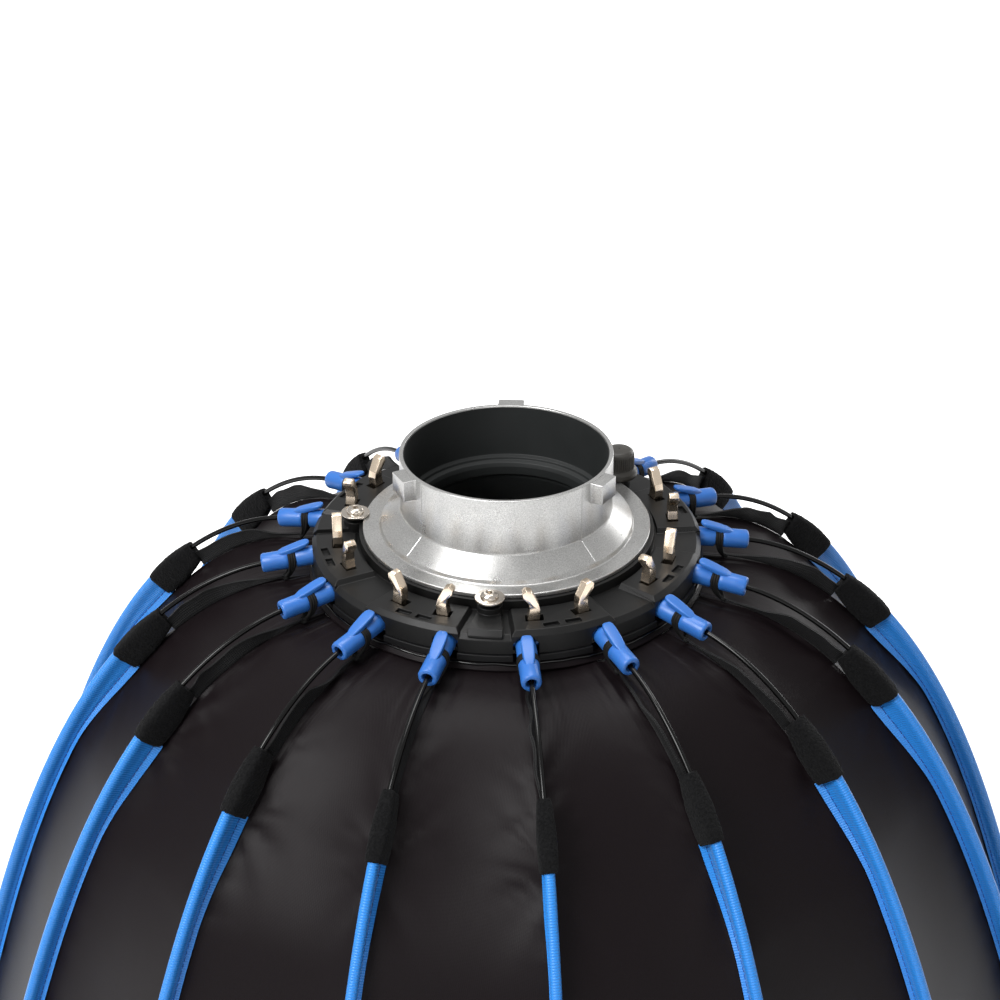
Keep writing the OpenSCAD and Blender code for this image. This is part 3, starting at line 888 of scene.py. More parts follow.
def cap_mesh():
    """The moulded cap in its own frame: +X along the rod, the hinge at the origin."""
    blue = paint("cap")
    profile = [(-4.4, 0.6), (-4.1, 1.9), (-3.4, 3.0), (-2.2, 3.95), (0, 4.5), (6, 4.5), (11.4, 4.5),
               (12.0, 4.25), (12.3, 3.3), (15.0, 3.3), (15.3, 4.2), (15.9, 4.6), (17.5, 4.5), (22, 4.5),
               (26.9, 4.5), (27.7, 4.2),
               (28, 3.7), (28, 2.75), (27.7, 2.4), (27, 2.3), (21.5, 2.3), (21.3, 1.3)]
    sides = 28
    rings = [
        [on_circle(r * MM, k, sides).zxy + Vector((x * MM, 0, 0)) for k in range(sides)] for x, r in profile
    ]
    barrel = lofted("barrel", rings, [blue], sharp=48)
    # The hook springs from the outer half and stands clear of the inner half
    hook_rings = []
    for x, z, half_w, half_t in ((20.5, 3.0, 1.6, 1.2), (17.5, 4.0, 2.4, 1.4), (14.5, 4.7, 2.7, 1.4),
                                 (11.5, 5.6, 2.8, 1.25), (8.5, 6.4, 2.85, 1.1), (6.4, 6.9, 2.6, 1.0),
                                 (5.2, 7.1, 2.0, 0.8), (4.7, 7.15, 1.0, 0.45)):
        corners = [(-half_w, -half_t), (half_w, -half_t), (half_w, half_t), (-half_w, half_t)]
        hook_rings.append([Vector((x * MM, p.x * MM, (z + p.y) * MM)) for p in fillet(corners, 0.8, 4)])
    hook = lofted("hook", hook_rings, [blue], sharp=50)
    ends = (-TRUNNION_HALF, -TRUNNION_HALF + 0.2 * MM, TRUNNION_HALF - 0.2 * MM, TRUNNION_HALF)
    trunnion = tube("trunnion", [Vector((0, y, 0)) for y in ends], TRUNNION_R, blue, 16)
    return merged("cap", barrel, hook, trunnion)


def build_caps():
    """One cap on each rib, all copies of one mesh."""
    model = cap_mesh()
    hinge = Matrix.Translation((RIBS[0].hinge_r, 0, RIBS[0].hinge_z)) @ Matrix.Rotation(
        math.radians(ROOT_SLOPE), 4, "Y")
    for rib in RIBS:
        obj = copy_of(model, f"end_cap_{rib.number:02d}", rib.turn @ hinge)
        piece(obj, rib.body, "cap_blue", f"rod_cap_{rib.number:02d}")
    bpy.data.objects.remove(model)


def build_rods():
    """The bent rods, with close steps where they bend most."""
    stops = [8 + 3 * i for i in range(27)] + [90 + 10 * i for i in range(36)]
    path = [on_rib(s * MM) for s in stops if s * MM <= RIB_LEN]
    for rib in RIBS:
        obj = tube(f"spring_rod_{rib.number:02d}", path, ROD_R, paint("rod"), 12)
        obj.data.transform(rib.turn)
        piece(obj, rib.body, "rod_black", f"rod_{rib.number:02d}")


# ---------------------------------------------------------------- sewn fins, tabs and webs
def with_map(obj, rings):
    """Gives a loft a UV map in metres: across its section and along its rings."""
    n = len(rings[0])
    along, across = [0.0], [0.0]
    for a, b in zip(rings, rings[1:]):
        along.append(along[-1] + (b[0] - a[0]).length)
    middle = rings[len(rings) // 2]
    for k in range(n):
        across.append(across[-1] + (middle[(k + 1) % n] - middle[k]).length)
    layer = obj.data.uv_layers.new(name="cloth_map").data
    sides = (len(rings) - 1) * n
    for face in obj.data.polygons[:sides]:
        i, k = divmod(face.index, n)
        spots = ((i, k), (i, k + 1), (i + 1, k + 1), (i + 1, k))
        for loop, (row, column) in zip(face.loop_indices, spots):
            layer[loop].uv = (along[row], across[column])
    for face in obj.data.polygons[sides:]:
        for loop in face.loop_indices:
            co = obj.data.vertices[obj.data.loops[loop].vertex_index].co
            layer[loop].uv = (co.x + co.y, co.z)
    return closed(obj)


def cloth_loft(name, rings, materials, sharp=60):
    """A closed cloth body through rings of points, with a map that runs along it."""
    return with_map(skinned(name, rings, materials, True, sharp), rings)


SLEEVE_START = TAB_END - 1 * MM
SLEEVE_ROWS, STITCH_ROWS = 82, 119
STITCH_SIDE = 0.62
PUCKER = 3 * MM
# Right halves of the outlines across a rib, in mm: sideways and up from the rod's middle
SEAM_LIFT = -7.7
SLEEVE_HALF = (
    (0.0, 2.85), (0.9, 2.7), (1.7, 2.15), (2.2, 1.2), (2.3, 0.1), (2.05, -1.2), (1.5, -2.6), (1.05, -4.0),
    (0.85, -5.6), (0.78, -7.1), (0.5, SEAM_LIFT), (0.8, -8.3), (1.25, -9.3), (1.8, -10.3), (2.1, -11.0),
)
TAB_HALF = (
    (0.0, 3.7), (1.5, 3.65), (2.8, 3.3), (3.6, 2.5), (4.0, 1.2), (4.1, -1.5), (4.0, -4.5), (3.7, -7.5),
    (3.4, -9.6), (2.6, -10.8), (1.3, -11.1),
)
TAB_ROWS = 30


def loop_of(half):
    """A whole outline from its right half, closed below."""
    right = [Vector(p) for p in half]
    return right + [Vector((0, SEAM_BOTTOM))] + [Vector((-p.x, p.y)) for p in reversed(right[1:])]


def sleeve_stop(i, rows):
    """Distance along the rib of one of the sleeve's rows."""
    return SLEEVE_START + (RIB_LEN - SLEEVE_START) * i / rows


def seam_sway(rib, s, deep):
    """How far the sewn edge wanders sideways, as much as it lies deep under the rod."""
    return noise.noise(Vector((s * 18, rib.number * 3.1, 4.0))) * 0.5 * deep * MM


def build_sleeves():
    """The sewn sleeves, each with its two lines of stitches."""
    section = loop_of(SLEEVE_HALF)
    for rib in RIBS:
        rings = []
        for i in range(SLEEVE_ROWS + 1):
            s = sleeve_stop(i, SLEEVE_ROWS)
            ring = []
            for p in section:
                deep = min(1.0, max(0.0, -p.y * MM / FIN))
                seed = Vector((s * 60, rib.number * 7.3, math.copysign(1.5, p.x) + p.y * 0.08))
                ripple = noise.noise(seed) * (0.15 + 0.35 * deep) * MM
                pucker = math.sin(s / PUCKER * 2 * math.pi) * 0.05 * MM if -9 < p.y < -6.5 else 0
                side = p.x * MM + math.copysign(ripple * 0.5 + pucker, p.x) + seam_sway(rib, s, deep)
                ring.append(on_rib(s, tucked(s, p.y) * MM, side))
            rings.append(ring)
        obj = cloth_loft("sleeve", rings, [paint("sleeve")])
        paths, edges = [], []
        for side in (-STITCH_SIDE, STITCH_SIDE):
            first = len(paths)
            for i in range(STITCH_ROWS + 1):
                s = sleeve_stop(i, STITCH_ROWS)
                deep = -SEAM_LIFT * MM / FIN
                paths.append(on_rib(s, tucked(s, SEAM_LIFT) * MM, side * MM + seam_sway(rib, s, deep)))
            edges += [(first + i, first + i + 1) for i in range(STITCH_ROWS)]
        seam = edge_object("stitches", paths, edges)
        run_tree(seam, SHARED["stitches"], {"Material": paint("thread_blue")})
        both = joined(f"rod_sleeve_{rib.number:02d}", obj, seam)
        both.data.transform(rib.turn)
        piece(both, rib.body, "sleeve_blue", "rod_sleeves")


def joined(name, *objects):
    """Joins objects into the first, which keeps its map, and renames it."""
    first = objects[0]
    with bpy.context.temp_override(active_object=first, selected_editable_objects=list(objects)):
        bpy.ops.object.join()
    first.name = first.data.name = name
    return first


def fuzz(p, amount, seed):
    """A point moved by fine noise, as the nap of a loop fabric."""
    return p + noise.noise_vector(p * 900 + Vector((seed, seed * 0.7, 0))) * amount


def build_straps():
    """Loop-fabric tab, black tape web and elastic loops of every rib, as one sewn piece."""
    for rib in RIBS:
        parts = [tab_mesh(rib), web_mesh(rib), *elastic_meshes(rib)]
        both = joined(f"tie_strap_{rib.number:02d}", *parts)
        both.data.transform(rib.turn)
        piece(both, rib.body, "strap_black", "strap_tabs")


def tab_mesh(rib):
    """The loop-fabric tab, narrower at its upper end, with ragged cut edges."""
    section = loop_of(TAB_HALF)
    middle = TAB_ROWS // 2
    rings = []
    for i in range(TAB_ROWS + 1):
        s = TAB_START + (TAB_END - TAB_START) * i / TAB_ROWS
        pinch = (0.8 + 0.2 * smooth_step(i / 16)) * (1 - 0.12 * (abs(i - middle) / middle) ** 6)
        ring = []
        for p in section:
            ragged = 0.6 * MM * noise.noise(Vector((p.x * 0.8, p.y * 0.5, rib.number * 5 + i // middle)))
            end = ragged if i in (0, TAB_ROWS) else 0
            ring.append(fuzz(on_rib(s + end, p.y * MM * pinch, p.x * MM * pinch), 0.28 * MM, rib.number))
        rings.append(ring)
    return cloth_loft("tab", rings, [paint("loop_tab")], sharp=80)


WEB_START, WEB_END, WEB_ROWS, WEB_COLUMNS = 18 * MM, 84 * MM, 40, 6
WEB_LOW, WEB_TALL, WEB_THICK, WEB_HEM = -10.9, 7.6, 0.35, 0.28


def web_mesh(rib):
    """The hemmed tape that runs from the tab up to the elastic, falling to one side."""
    azimuth = (rib.azimuth + 180) % 360 - 180
    lean = -1.0 if -20 < azimuth < 150 else 0.35
    fall = (3.2 if lean < 0 else 1.6) * (0.8 + 0.5 * noise.noise(Vector((rib.number * 2.7, 1, 3))))
    rings = []
    for i in range(WEB_ROWS + 1):
        t = i / WEB_ROWS
        s = WEB_START + (WEB_END - WEB_START) * t
        low = WEB_LOW + 2.0 * (1 - t) ** 6
        tall = 0.8 + WEB_TALL * smooth_step(t / 0.62)
        wave = noise.noise(Vector((s * 55, rib.number * 4.4, 0.5)))
        ring_low, ring_high = [], []
        for j in range(WEB_COLUMNS + 1):
            u = j / WEB_COLUMNS
            lift = low + tall * u * (1 - 0.4 * abs(wave))
            bow = lean * fall * math.sin(math.pi * t) ** 0.7 * (0.35 * math.sin(math.pi * u) + 0.9 * u)
            flutter = wave * 3.0 * u * math.sin(math.pi * t)
            y = bow + flutter
            thick = WEB_THICK + (WEB_HEM if j in (1, WEB_COLUMNS) else 0)
            ring_low.append(on_rib(s, lift * MM, (y - thick) * MM))
            ring_high.append(on_rib(s, lift * MM, (y + thick) * MM))
        rings.append(ring_low + ring_high[::-1])
    return cloth_loft("web", rings, [paint("tape")], sharp=70)


ELASTIC_TURNS, ELASTIC_PITCH, ELASTIC_R, KNOT_R = 3, 1.15, 0.72 * MM, 0.9 * MM
# One side of a turn, in mm: along the rib, sideways, up, then the shares of shift and wobble it takes
ELASTIC_SIDE = (
    (13.6, 0, 4.15, 1, 0), (13.6, 3.1, 3.0, 1, 0), (13.6, 4.35, 0.2, 1, 0), (14.6, 3.7, -3.6, 0.8, 0.4),
    (16.4, 2.0, -7.0, 0.5, 0.4), (18.4, 0.35, -9.4, 0.4, 0),
)
KNOT = ((16.8, 0, -8.2), (17.6, 1.1, -9.0), (18.6, 0.6, -9.9), (19.2, -0.8, -9.3), (18.2, -1.2, -8.6),
        (17.4, 0.2, -8.8))


def elastic_meshes(rib):
    """Three turns of elastic over the waist of the cap, tied to the web's point."""
    made = []
    for turn in range(ELASTIC_TURNS):
        shift = (turn - 1) * ELASTIC_PITCH
        wobble = noise.noise(Vector((rib.number * 1.9, turn * 3.3, 0)))
        path = [
            on_rib((s + shift * a) * MM, z * MM, (side * y + wobble * b) * MM)
            for side, half in ((1, ELASTIC_SIDE), (-1, ELASTIC_SIDE[::-1]))
            for s, y, z, a, b in half
        ]
        path = smooth_path(path, 4)[:-1]
        made.append(tube("elastic", path, ELASTIC_R, paint("elastic"), 8, loop=True))
    knot = [on_rib(s * MM, z * MM, y * MM) for s, y, z in KNOT]
    made.append(tube("knot", smooth_path(knot, 4), KNOT_R, paint("elastic"), 8))
    return made


# ---------------------------------------------------------------- the shell
SHELL_TOP = 8 * MM
SHELL_BOTTOM = RIB_LEN
CLOTH, BINDING, BINDING_EXTRA = 0.5 * MM, 9 * MM, 1.4 * MM
COLUMNS = 13
ROW = 4 * MM
# The shape of the small folds: how far they reach and how long their waves are
PUCKER_REACH = PUCKER_LENGTH = 9 * MM
FAN_REACH, FAN_CLEAR, FAN_WAVES, FAN_DEPTH = 42 * MM, 24 * MM, 3.2, 2.4
GORE_MAP = 0.16


def bell(x, middle, width):
    """A smooth bump of height 1."""
    return math.exp(-((x - middle) / width) ** 2)


def shell_point(rib, s, u):
    """Point of the shell in the rib's frame, at a distance s along it and a share u of the half gore."""
    base = on_rib(s, -fin_depth(s))
    reach = abs(u)
    angle = HALF_GORE * u
    span = base.x * HALF_GORE
    r = base.x * math.cos(HALF_GORE) / math.cos(HALF_GORE - abs(angle))
    hollow = 1 - (1 - reach) ** 2
    r -= span * hollow * (0.05 + 0.09 * bell(s, 0.10, 0.09))
    p = Vector((r * math.cos(angle), r * math.sin(angle), base.z))
    world = rib.turn @ p
    fold = noise.noise(world * 9) * 1.6 + noise.noise(world * 23 + Vector((3, 1, 7))) * 0.7
    fold *= hollow * min(1.0, (RIB_LEN + 6 * MM - s) / (40 * MM))
    fold += side_folds(rib, s, u, span, reach)
    a = slope(s)
    out = Vector((math.sin(a) * math.cos(angle), math.sin(a) * math.sin(angle), math.cos(a)))
    return p + out * fold * MM


def side_folds(rib, s, u, span, reach):
    """Puckers along the sewn seam and pulls that fan out from the tab, within their half of the gore."""
    key = rib.number * 2 + (u >= 0)
    away = reach * span
    settle = (1 - reach) ** 2 * min(1.0, reach / 0.05)
    pucker = noise.noise(Vector((s / PUCKER_LENGTH, key * 5.1, 0.3))) * 0.75
    pucker *= math.exp(-away / PUCKER_REACH)
    fan = 0.0
    for centre, strength in ((TAB_START, 0.8), (TAB_END, 1.3)):
        dx, dy = away + 6 * MM, s - centre
        angle = math.atan2(dy, dx)
        distance = math.hypot(dx, dy)
        pull = noise.noise(Vector((angle * FAN_WAVES, key * 3.7, centre * 90)))
        clear = 1 - math.exp(-(distance / FAN_CLEAR) ** 2)
        fan += strength * pull * math.exp(-distance / FAN_REACH) * clear * FAN_DEPTH
    gather = noise.noise(Vector((u * 7, key * 2.3, s * 25))) * 1.1 * bell(s, 0.012, 0.03)
    return (pucker + fan + gather) * settle * 1.4


def shell_normal(rib, s, u, side):
    """Outward normal, taken on one side of the rib so that its crease stays sharp."""
    du, ds = 0.012 * side, 1.2 * MM
    if abs(u + du) > 1:
        du = -du
    if s + ds >= SHELL_BOTTOM:
        ds = -ds
    p = shell_point(rib, s, u)
    a = (shell_point(rib, s, u + du) - p) / du
    b = (shell_point(rib, s + ds, u) - p) / ds
    n = b.cross(a)
    return n.normalized() if n.x > 0 or n.z > 0 else -n.normalized()


def folded_share(rib, s):
    """How wide a gore is when its ribs have folded, as a share of its width at rest."""
    p = shell_point(rib, s, 1.0)
    dx, dz = p.x - rib.hinge_r, p.z - rib.hinge_z
    x = rib.hinge_r + dx * math.cos(FOLD) + dz * math.sin(FOLD)
    return x * math.tan(HALF_GORE) / abs(p.y)


def band_edges(count):
    """Distances along the rib that cut the shell into bands of equal narrowing."""
    rows = round((SHELL_BOTTOM - SHELL_TOP) / ROW)
    stops = [SHELL_TOP + (SHELL_BOTTOM - SHELL_TOP) * i / rows for i in range(rows + 1)]
    shares = [folded_share(RIBS[0], s) for s in stops]
    edges, wanted = [0], shares[0]
    step = (shares[0] - shares[-1]) / count
    for i, share in enumerate(shares):
        if share <= wanted - step and len(edges) < count:
            edges.append(i)
            wanted -= step
    edges.append(rows)
    return stops, edges


def build_shell():
    """The black shell: each gore in bands that ride its rib, cut where it would narrow by equal steps as the
    ribs fold.
    """
    columns = [(i / COLUMNS) ** 1.25 for i in range(COLUMNS + 1)]
    us = [-u for u in reversed(columns)] + columns[1:]
    stops, edges = band_edges(bpy.context.scene.softbox.bands)
    for rib in RIBS:
        points = [[shell_point(rib, s, u) for u in us] for s in stops]
        left = [[shell_normal(rib, s, u, -1.0) for u in us[:COLUMNS + 1]] for s in stops]
        right = [[shell_normal(rib, s, u, 1.0) for u in us[COLUMNS:]] for s in stops]
        for band, (start, stop) in enumerate(zip(edges, edges[1:])):
            name = f"gore_{rib.number:02d}_{band}"
            gore_band(rib, name, points, left, right, start, stop, us, stops)


def gore_band(rib, name, points, left, right, start, stop, us, stops):
    """One band of one gore: outside, lining and cut edges, with the whole shell's normals."""
    wide, rows = len(us), stop - start + 1
    middle = (wide - 1) // 2
    verts, faces, normals, uvs, slots = [], [], [], [], []

    def normal(i, j, side):
        return left[i][j] if side < 0 else right[i][j - middle]

    def bound(i):
        return stops[i] > SHELL_BOTTOM - BINDING

    for i in range(start, stop + 1):
        verts += points[i]
    for i in range(start, stop + 1):
        thick = CLOTH + (BINDING_EXTRA if bound(i) else 0)
        for j in range(wide):
            out = normal(i, j, -1) + normal(i, j, 1) if j == middle else normal(i, j, j - middle)
            verts.append(points[i][j] - out.normalized() * thick)
    under = rows * wide
    for i in range(rows - 1):
        for j in range(wide - 1):
            side = -1 if j < middle else 1
            spots = ((i, j), (i + 1, j), (i + 1, j + 1), (i, j + 1))
            faces.append([a * wide + b for a, b in spots])
            normals += [normal(start + a, b, side) for a, b in spots]
            faces.append([under + a * wide + b for a, b in reversed(spots)])
            normals += [-normal(start + a, b, side) for a, b in reversed(spots)]
            for order in (spots, tuple(reversed(spots))):
                uvs += [(us[b] * stops[start + a] * GORE_MAP, stops[start + a]) for a, b in order]
            slots += [2, 2] if bound(start + i) else [0, 1]
    rim = [(0, j) for j in range(wide)] + [(i, wide - 1) for i in range(1, rows)]
    rim += [(rows - 1, j) for j in range(wide - 2, -1, -1)] + [(i, 0) for i in range(rows - 2, 0, -1)]
    for a, b in zip(rim, rim[1:] + rim[:1]):
        ia, ib = a[0] * wide + a[1], b[0] * wide + b[1]
        face = [ia, ib, under + ib, under + ia]
        faces.append(face)
        n = (verts[ib] - verts[ia]).cross(verts[under + ia] - verts[ia]).normalized()
        normals += [n] * 4
        uvs += [(verts[v].y, verts[v].z) for v in face]
        slots.append(0)
    obj = mesh_object(name, verts, faces, [paint("nylon"), paint("lining"), paint("tape")])
    obj.data.polygons.foreach_set("material_index", slots)
    layer = obj.data.uv_layers.new(name="cloth_map").data
    for loop, uv in zip(layer, uvs):
        loop.uv = uv
    turn = rib.turn.to_3x3()
    obj.data.transform(rib.turn)
    obj.data.normals_split_custom_set([tuple(turn @ n) for n in normals])
    piece(obj, rib.body, "shell_nylon", "fabric_shell")
    keep = max(folded_share(rib, stops[i]) for i in (start, stop))
    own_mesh(obj)


PIPING_R = 91.0 * MM


def build_neck():
    """The hemmed band that closes the shell under the ring, with its glossy piping."""
    def ruffle(angle, r, z):
        weight = max(0.0, (r - 86 * MM) / (8 * MM))
        return weight * 0.7 * MM * noise.noise(Vector((math.cos(angle) * 6, math.sin(angle) * 6, z * 30)))

    band = revolved("band", fillet([
        (84 * MM, PLATE_Z - 0.3 * MM, 0), (89.6 * MM, PLATE_Z - 0.8 * MM, 1 * MM),
        (92.4 * MM, PLATE_Z - 4.2 * MM), (91.6 * MM, PLATE_Z - 5.2 * MM), (89 * MM, PLATE_Z - 2.4 * MM),
        (84 * MM, PLATE_Z - 1.3 * MM, 0)], 0.5 * MM, 4), paint("nylon"), 192, ruffle, sharp=50)
    path, count = [], 240
    for i in range(count):
        seed = on_circle(9, i, count)
        r = PIPING_R + 0.6 * MM * noise.noise(seed)
        path.append(on_circle(r, i, count, PLATE_Z - 1.5 * MM + 0.5 * MM * noise.noise(seed * 1.3)))
    piping = tube("piping", path, 0.5 * MM, paint("piping"), 8, loop=True)
    mapped(band, lambda co: (math.atan2(co.y, co.x) * 90 * MM, co.z))
    both = joined("neck_band", band, piping)
    piece(both, "speed_ring", "shell_nylon")


# ---------------------------------------------------------------- the front: diffuser and honeycomb grid
HEM = 16 * MM


def build_diffuser():
    """The white front cloth, drawn tight to a sewn rim."""
    top = GRID_TOP + 2 * MM
    rings, sides, verts, faces = 40, 144, [], []
    cloth_r, middle_z = FRONT_R - 1.6 * MM, top - 0.45 * MM
    for layer_z in (0.0, -0.7 * MM):
        for i in range(1, rings + 1):
            r = cloth_r * i / rings
            for k in range(sides):
                a = 2 * math.pi * k / sides
                p = on_circle(r, k, sides)
                ripple = noise.noise(p * 11) * 0.5 * (1 - (i / rings) ** 2)
                ripple += noise.noise(Vector((a * 9, 1, i * 0.09))) * 0.25 * (i / rings) ** 3
                verts.append((p.x, p.y, middle_z + layer_z + ripple * 0.5 * MM))
        verts.append((0, 0, middle_z + layer_z))
    half = rings * sides + 1
    for i in range(rings - 1):
        for k in range(sides):
            a, b = i * sides + k, i * sides + (k + 1) % sides
            faces.append((a, a + sides, b + sides, b))
            faces.append((half + b, half + b + sides, half + a + sides, half + a))
    for k in range(sides):
        b = (k + 1) % sides
        faces.append((half - 1, k, b))
        faces.append((2 * half - 1, half + b, half + k))
        o = (rings - 1) * sides
        faces.append((o + k, half + o + k, half + o + b, o + b))
    cloth = mesh_object("front_cloth", verts, faces, [paint("diffuser")])
    mapped(cloth, lambda co: co.xy)
    piece(cloth, "front_set", "diffuser_white", "front_diffuser")
    hem = revolved("front_cloth_hem", fillet([
        (FRONT_R - HEM, top - 1.6 * MM), (FRONT_R - 1 * MM, top - 1.9 * MM),
        (FRONT_R - 1 * MM, top - 0.05 * MM), (FRONT_R - HEM, top - 0.1 * MM),
    ], 0.3 * MM, 3), paint("grid_cloth"), 192)
    flat_map(hem)
    piece(hem, "front_set", "diffuser_white", "front_diffuser")


def flat_map(obj):
    """A map in metres that wraps a band: round it and up it."""
    mapped(obj, lambda co: (math.atan2(co.y, co.x) * FRONT_R, co.z + math.hypot(co.x, co.y)))


def cell_edges(flats, radius):
    """Edges of a honeycomb inside a circle, cut where they cross it, as pairs of points."""
    side = flats / math.sqrt(3)
    seen, made = set(), []
    reach = math.ceil(radius / flats) + 1
    for row in range(-reach, reach + 1):
        for column in range(-reach, reach + 1):
            x = (column + (row % 2) / 2) * flats
            y = row * flats * math.cos(math.radians(30))
            corners = [Vector((x + side * math.cos(math.radians(60 * k + 30)),
                               y + side * math.sin(math.radians(60 * k + 30)))) for k in range(6)]
            for a, b in zip(corners, corners[1:] + corners[:1]):
                key = frozenset(((round(a.x, 5), round(a.y, 5)), (round(b.x, 5), round(b.y, 5))))
                if key in seen:
                    continue
                seen.add(key)
                if a.length > b.length:
                    a, b = b, a
                if a.length >= radius:
                    continue
                if b.length > radius:
                    d = b - a
                    half, c = a.dot(d) / d.dot(d), (a.dot(a) - radius ** 2) / d.dot(d)
                    b = a + d * (-half + math.sqrt(half * half - c))
                made.append((a.copy(), b.copy()))
    return made


def build_grid():
    """The border band with its hems, and the fabric cells inside it."""
    cloth = paint("grid_cloth")
    radius = FRONT_R - 0.8 * MM

    def soften(angle, r, z):
        seed = Vector((math.cos(angle) * 14, math.sin(angle) * 14, z * 40))
        return 0.35 * MM * noise.noise(seed) - 0.3 * MM

    border = revolved("band", fillet([
        (radius - 0.6 * MM, 0.0), (FRONT_R, 0.0), (FRONT_R + 0.3 * MM, 4 * MM),
        (FRONT_R - 0.2 * MM, 5 * MM), (FRONT_R - 0.3 * MM, 18 * MM), (FRONT_R - 0.2 * MM, 31 * MM),
        (FRONT_R + 0.3 * MM, 32 * MM), (FRONT_R, GRID_TOP), (radius - 0.6 * MM, GRID_TOP),
        (radius, 18 * MM)], 0.5 * MM, 3), cloth, 288, soften)
    flat_map(border)
    count = 480
    paths, edges = [], []
    for z in (6.2 * MM, 30 * MM):
        first = len(paths)
        paths += [on_circle(FRONT_R - 0.15 * MM, i, count, z) for i in range(count)]
        edges += [(first + i, first + (i + 1) % count) for i in range(count)]
    seam = edge_object("seam", paths, edges)
    run_tree(seam, SHARED["stitches"], {
        "Spacing": 3.6 * MM, "Length": 2.6 * MM, "Material": paint("thread_black")})
    piece(joined("grid_border_band", border, seam), "front_set", "grid_fabric", "grid_border")

    settings = bpy.context.scene.softbox
    verts, edges, places, steps = [], [], {}, 4
    for a, b in cell_edges(settings.cell_width, radius - 0.6 * MM):
        last = None
        for i in range(steps + 1):
            p = a.lerp(b, i / steps)
            # Soft strips bow a little between their sewn corners
            bow = math.sin(math.pi * i / steps) * noise.noise(Vector((p.x * 40, p.y * 40, 2))) * 0.9 * MM
            across = Vector((-(b - a).y, (b - a).x)).normalized()
            q = p + across * bow
            key = (round(q.x, 5), round(q.y, 5), i if 0 < i < steps else 0)
            if key not in places:
                places[key] = len(verts)
                verts.append((q.x, q.y, GRID_TOP / 2))
            if last is not None and last != places[key]:
                edges.append((last, places[key]))
            last = places[key]
    cells = edge_object("honeycomb_cells", verts, edges)
    run_tree(cells, SHARED["walls"], {
        "Wall thickness": settings.wall, "Depth": GRID_TOP - 1 * MM, "Material": cloth})
    closed(cells)
    shade_smooth(cells, False)
    flat_map(cells)
    piece(cells, "front_set", "grid_fabric", "honeycomb_grid")


# ---------------------------------------------------------------- floor, light and camera
FLOOR_HALF = 6.0
CAMERA_PLACE = (-0.00296, -0.88345, TOP + 0.45115)
CAMERA_TILT, CAMERA_ROLL, CAMERA_LENS = 61.65, -0.36, 78.21


def build_floor(settings):
    """A floor that shows from above only and casts no shadow on itself, bright for camera and mirrors."""
    floor_paint = Paint("floor", (0.84, 0.84, 0.84, 1), Roughness=0.85)
    tree = floor_paint.tree
    out = tree.nodes["Material Output"]
    face = add(tree, "ShaderNodeNewGeometry")
    seen = add(tree, "ShaderNodeLightPath")
    glow = add(tree, "ShaderNodeEmission", Color=(1, 1, 1, 1))
    both = add(tree, "ShaderNodeAddShader")
    clear = add(tree, "ShaderNodeBsdfTransparent")
    pick = add(tree, "ShaderNodeMixShader")
    through = add(tree, "ShaderNodeMath", operation="MAXIMUM")
    strength = add(tree, "ShaderNodeMath", operation="MULTIPLY")
    strength.inputs[1].default_value = settings.floor_glow
    direct = add(tree, "ShaderNodeMath", operation="MAXIMUM")
    wire(
        tree,
        (seen, "Is Camera Ray", direct, 0), (seen, "Is Glossy Ray", direct, 1),
        (direct, 0, strength, 0), (strength, 0, glow, "Strength"), (floor_paint.surface, 0, both, 0),
        (glow, 0, both, 1), (face, "Backfacing", through, 0), (seen, "Is Shadow Ray", through, 1),
        (through, 0, pick, 0), (both, 0, pick, 1), (clear, 0, pick, 2), (pick, 0, out, "Surface"),
    )
    half = FLOOR_HALF
    floor = mesh_object("floor", [(-half, -half, 0), (half, -half, 0), (half, half, 0), (-half, half, 0)],
                        [(0, 1, 2, 3)], [floor_paint.material], smooth=False)
    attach(floor, "front_set")


def build_world(settings):
    """White for the camera, dimmer for mirrors, and dimmest as light from all round."""
    world = bpy.data.worlds.new("studio")
    bpy.context.scene.world = world
    world.use_nodes = True
    nodes = world.node_tree
    base = nodes.nodes["Background"]
    base.inputs["Color"].default_value = (1, 1, 1, 1)
    path = add(nodes, "ShaderNodeLightPath")
    level = add(nodes, "ShaderNodeMapRange")
    level.inputs["To Min"].default_value = settings.ambient
    level.inputs["To Max"].default_value = 1.0
    mirrored = add(nodes, "ShaderNodeMath", operation="MULTIPLY")
    mirrored.inputs[1].default_value = settings.reflected
    shown = add(nodes, "ShaderNodeMath", operation="MAXIMUM")
    wire(
        nodes,
        (path, "Is Glossy Ray", mirrored, 0), (path, "Is Camera Ray", shown, 0),
        (mirrored, 0, shown, 1), (shown, 0, level, "Value"), (level, "Result", base, "Strength"),
    )


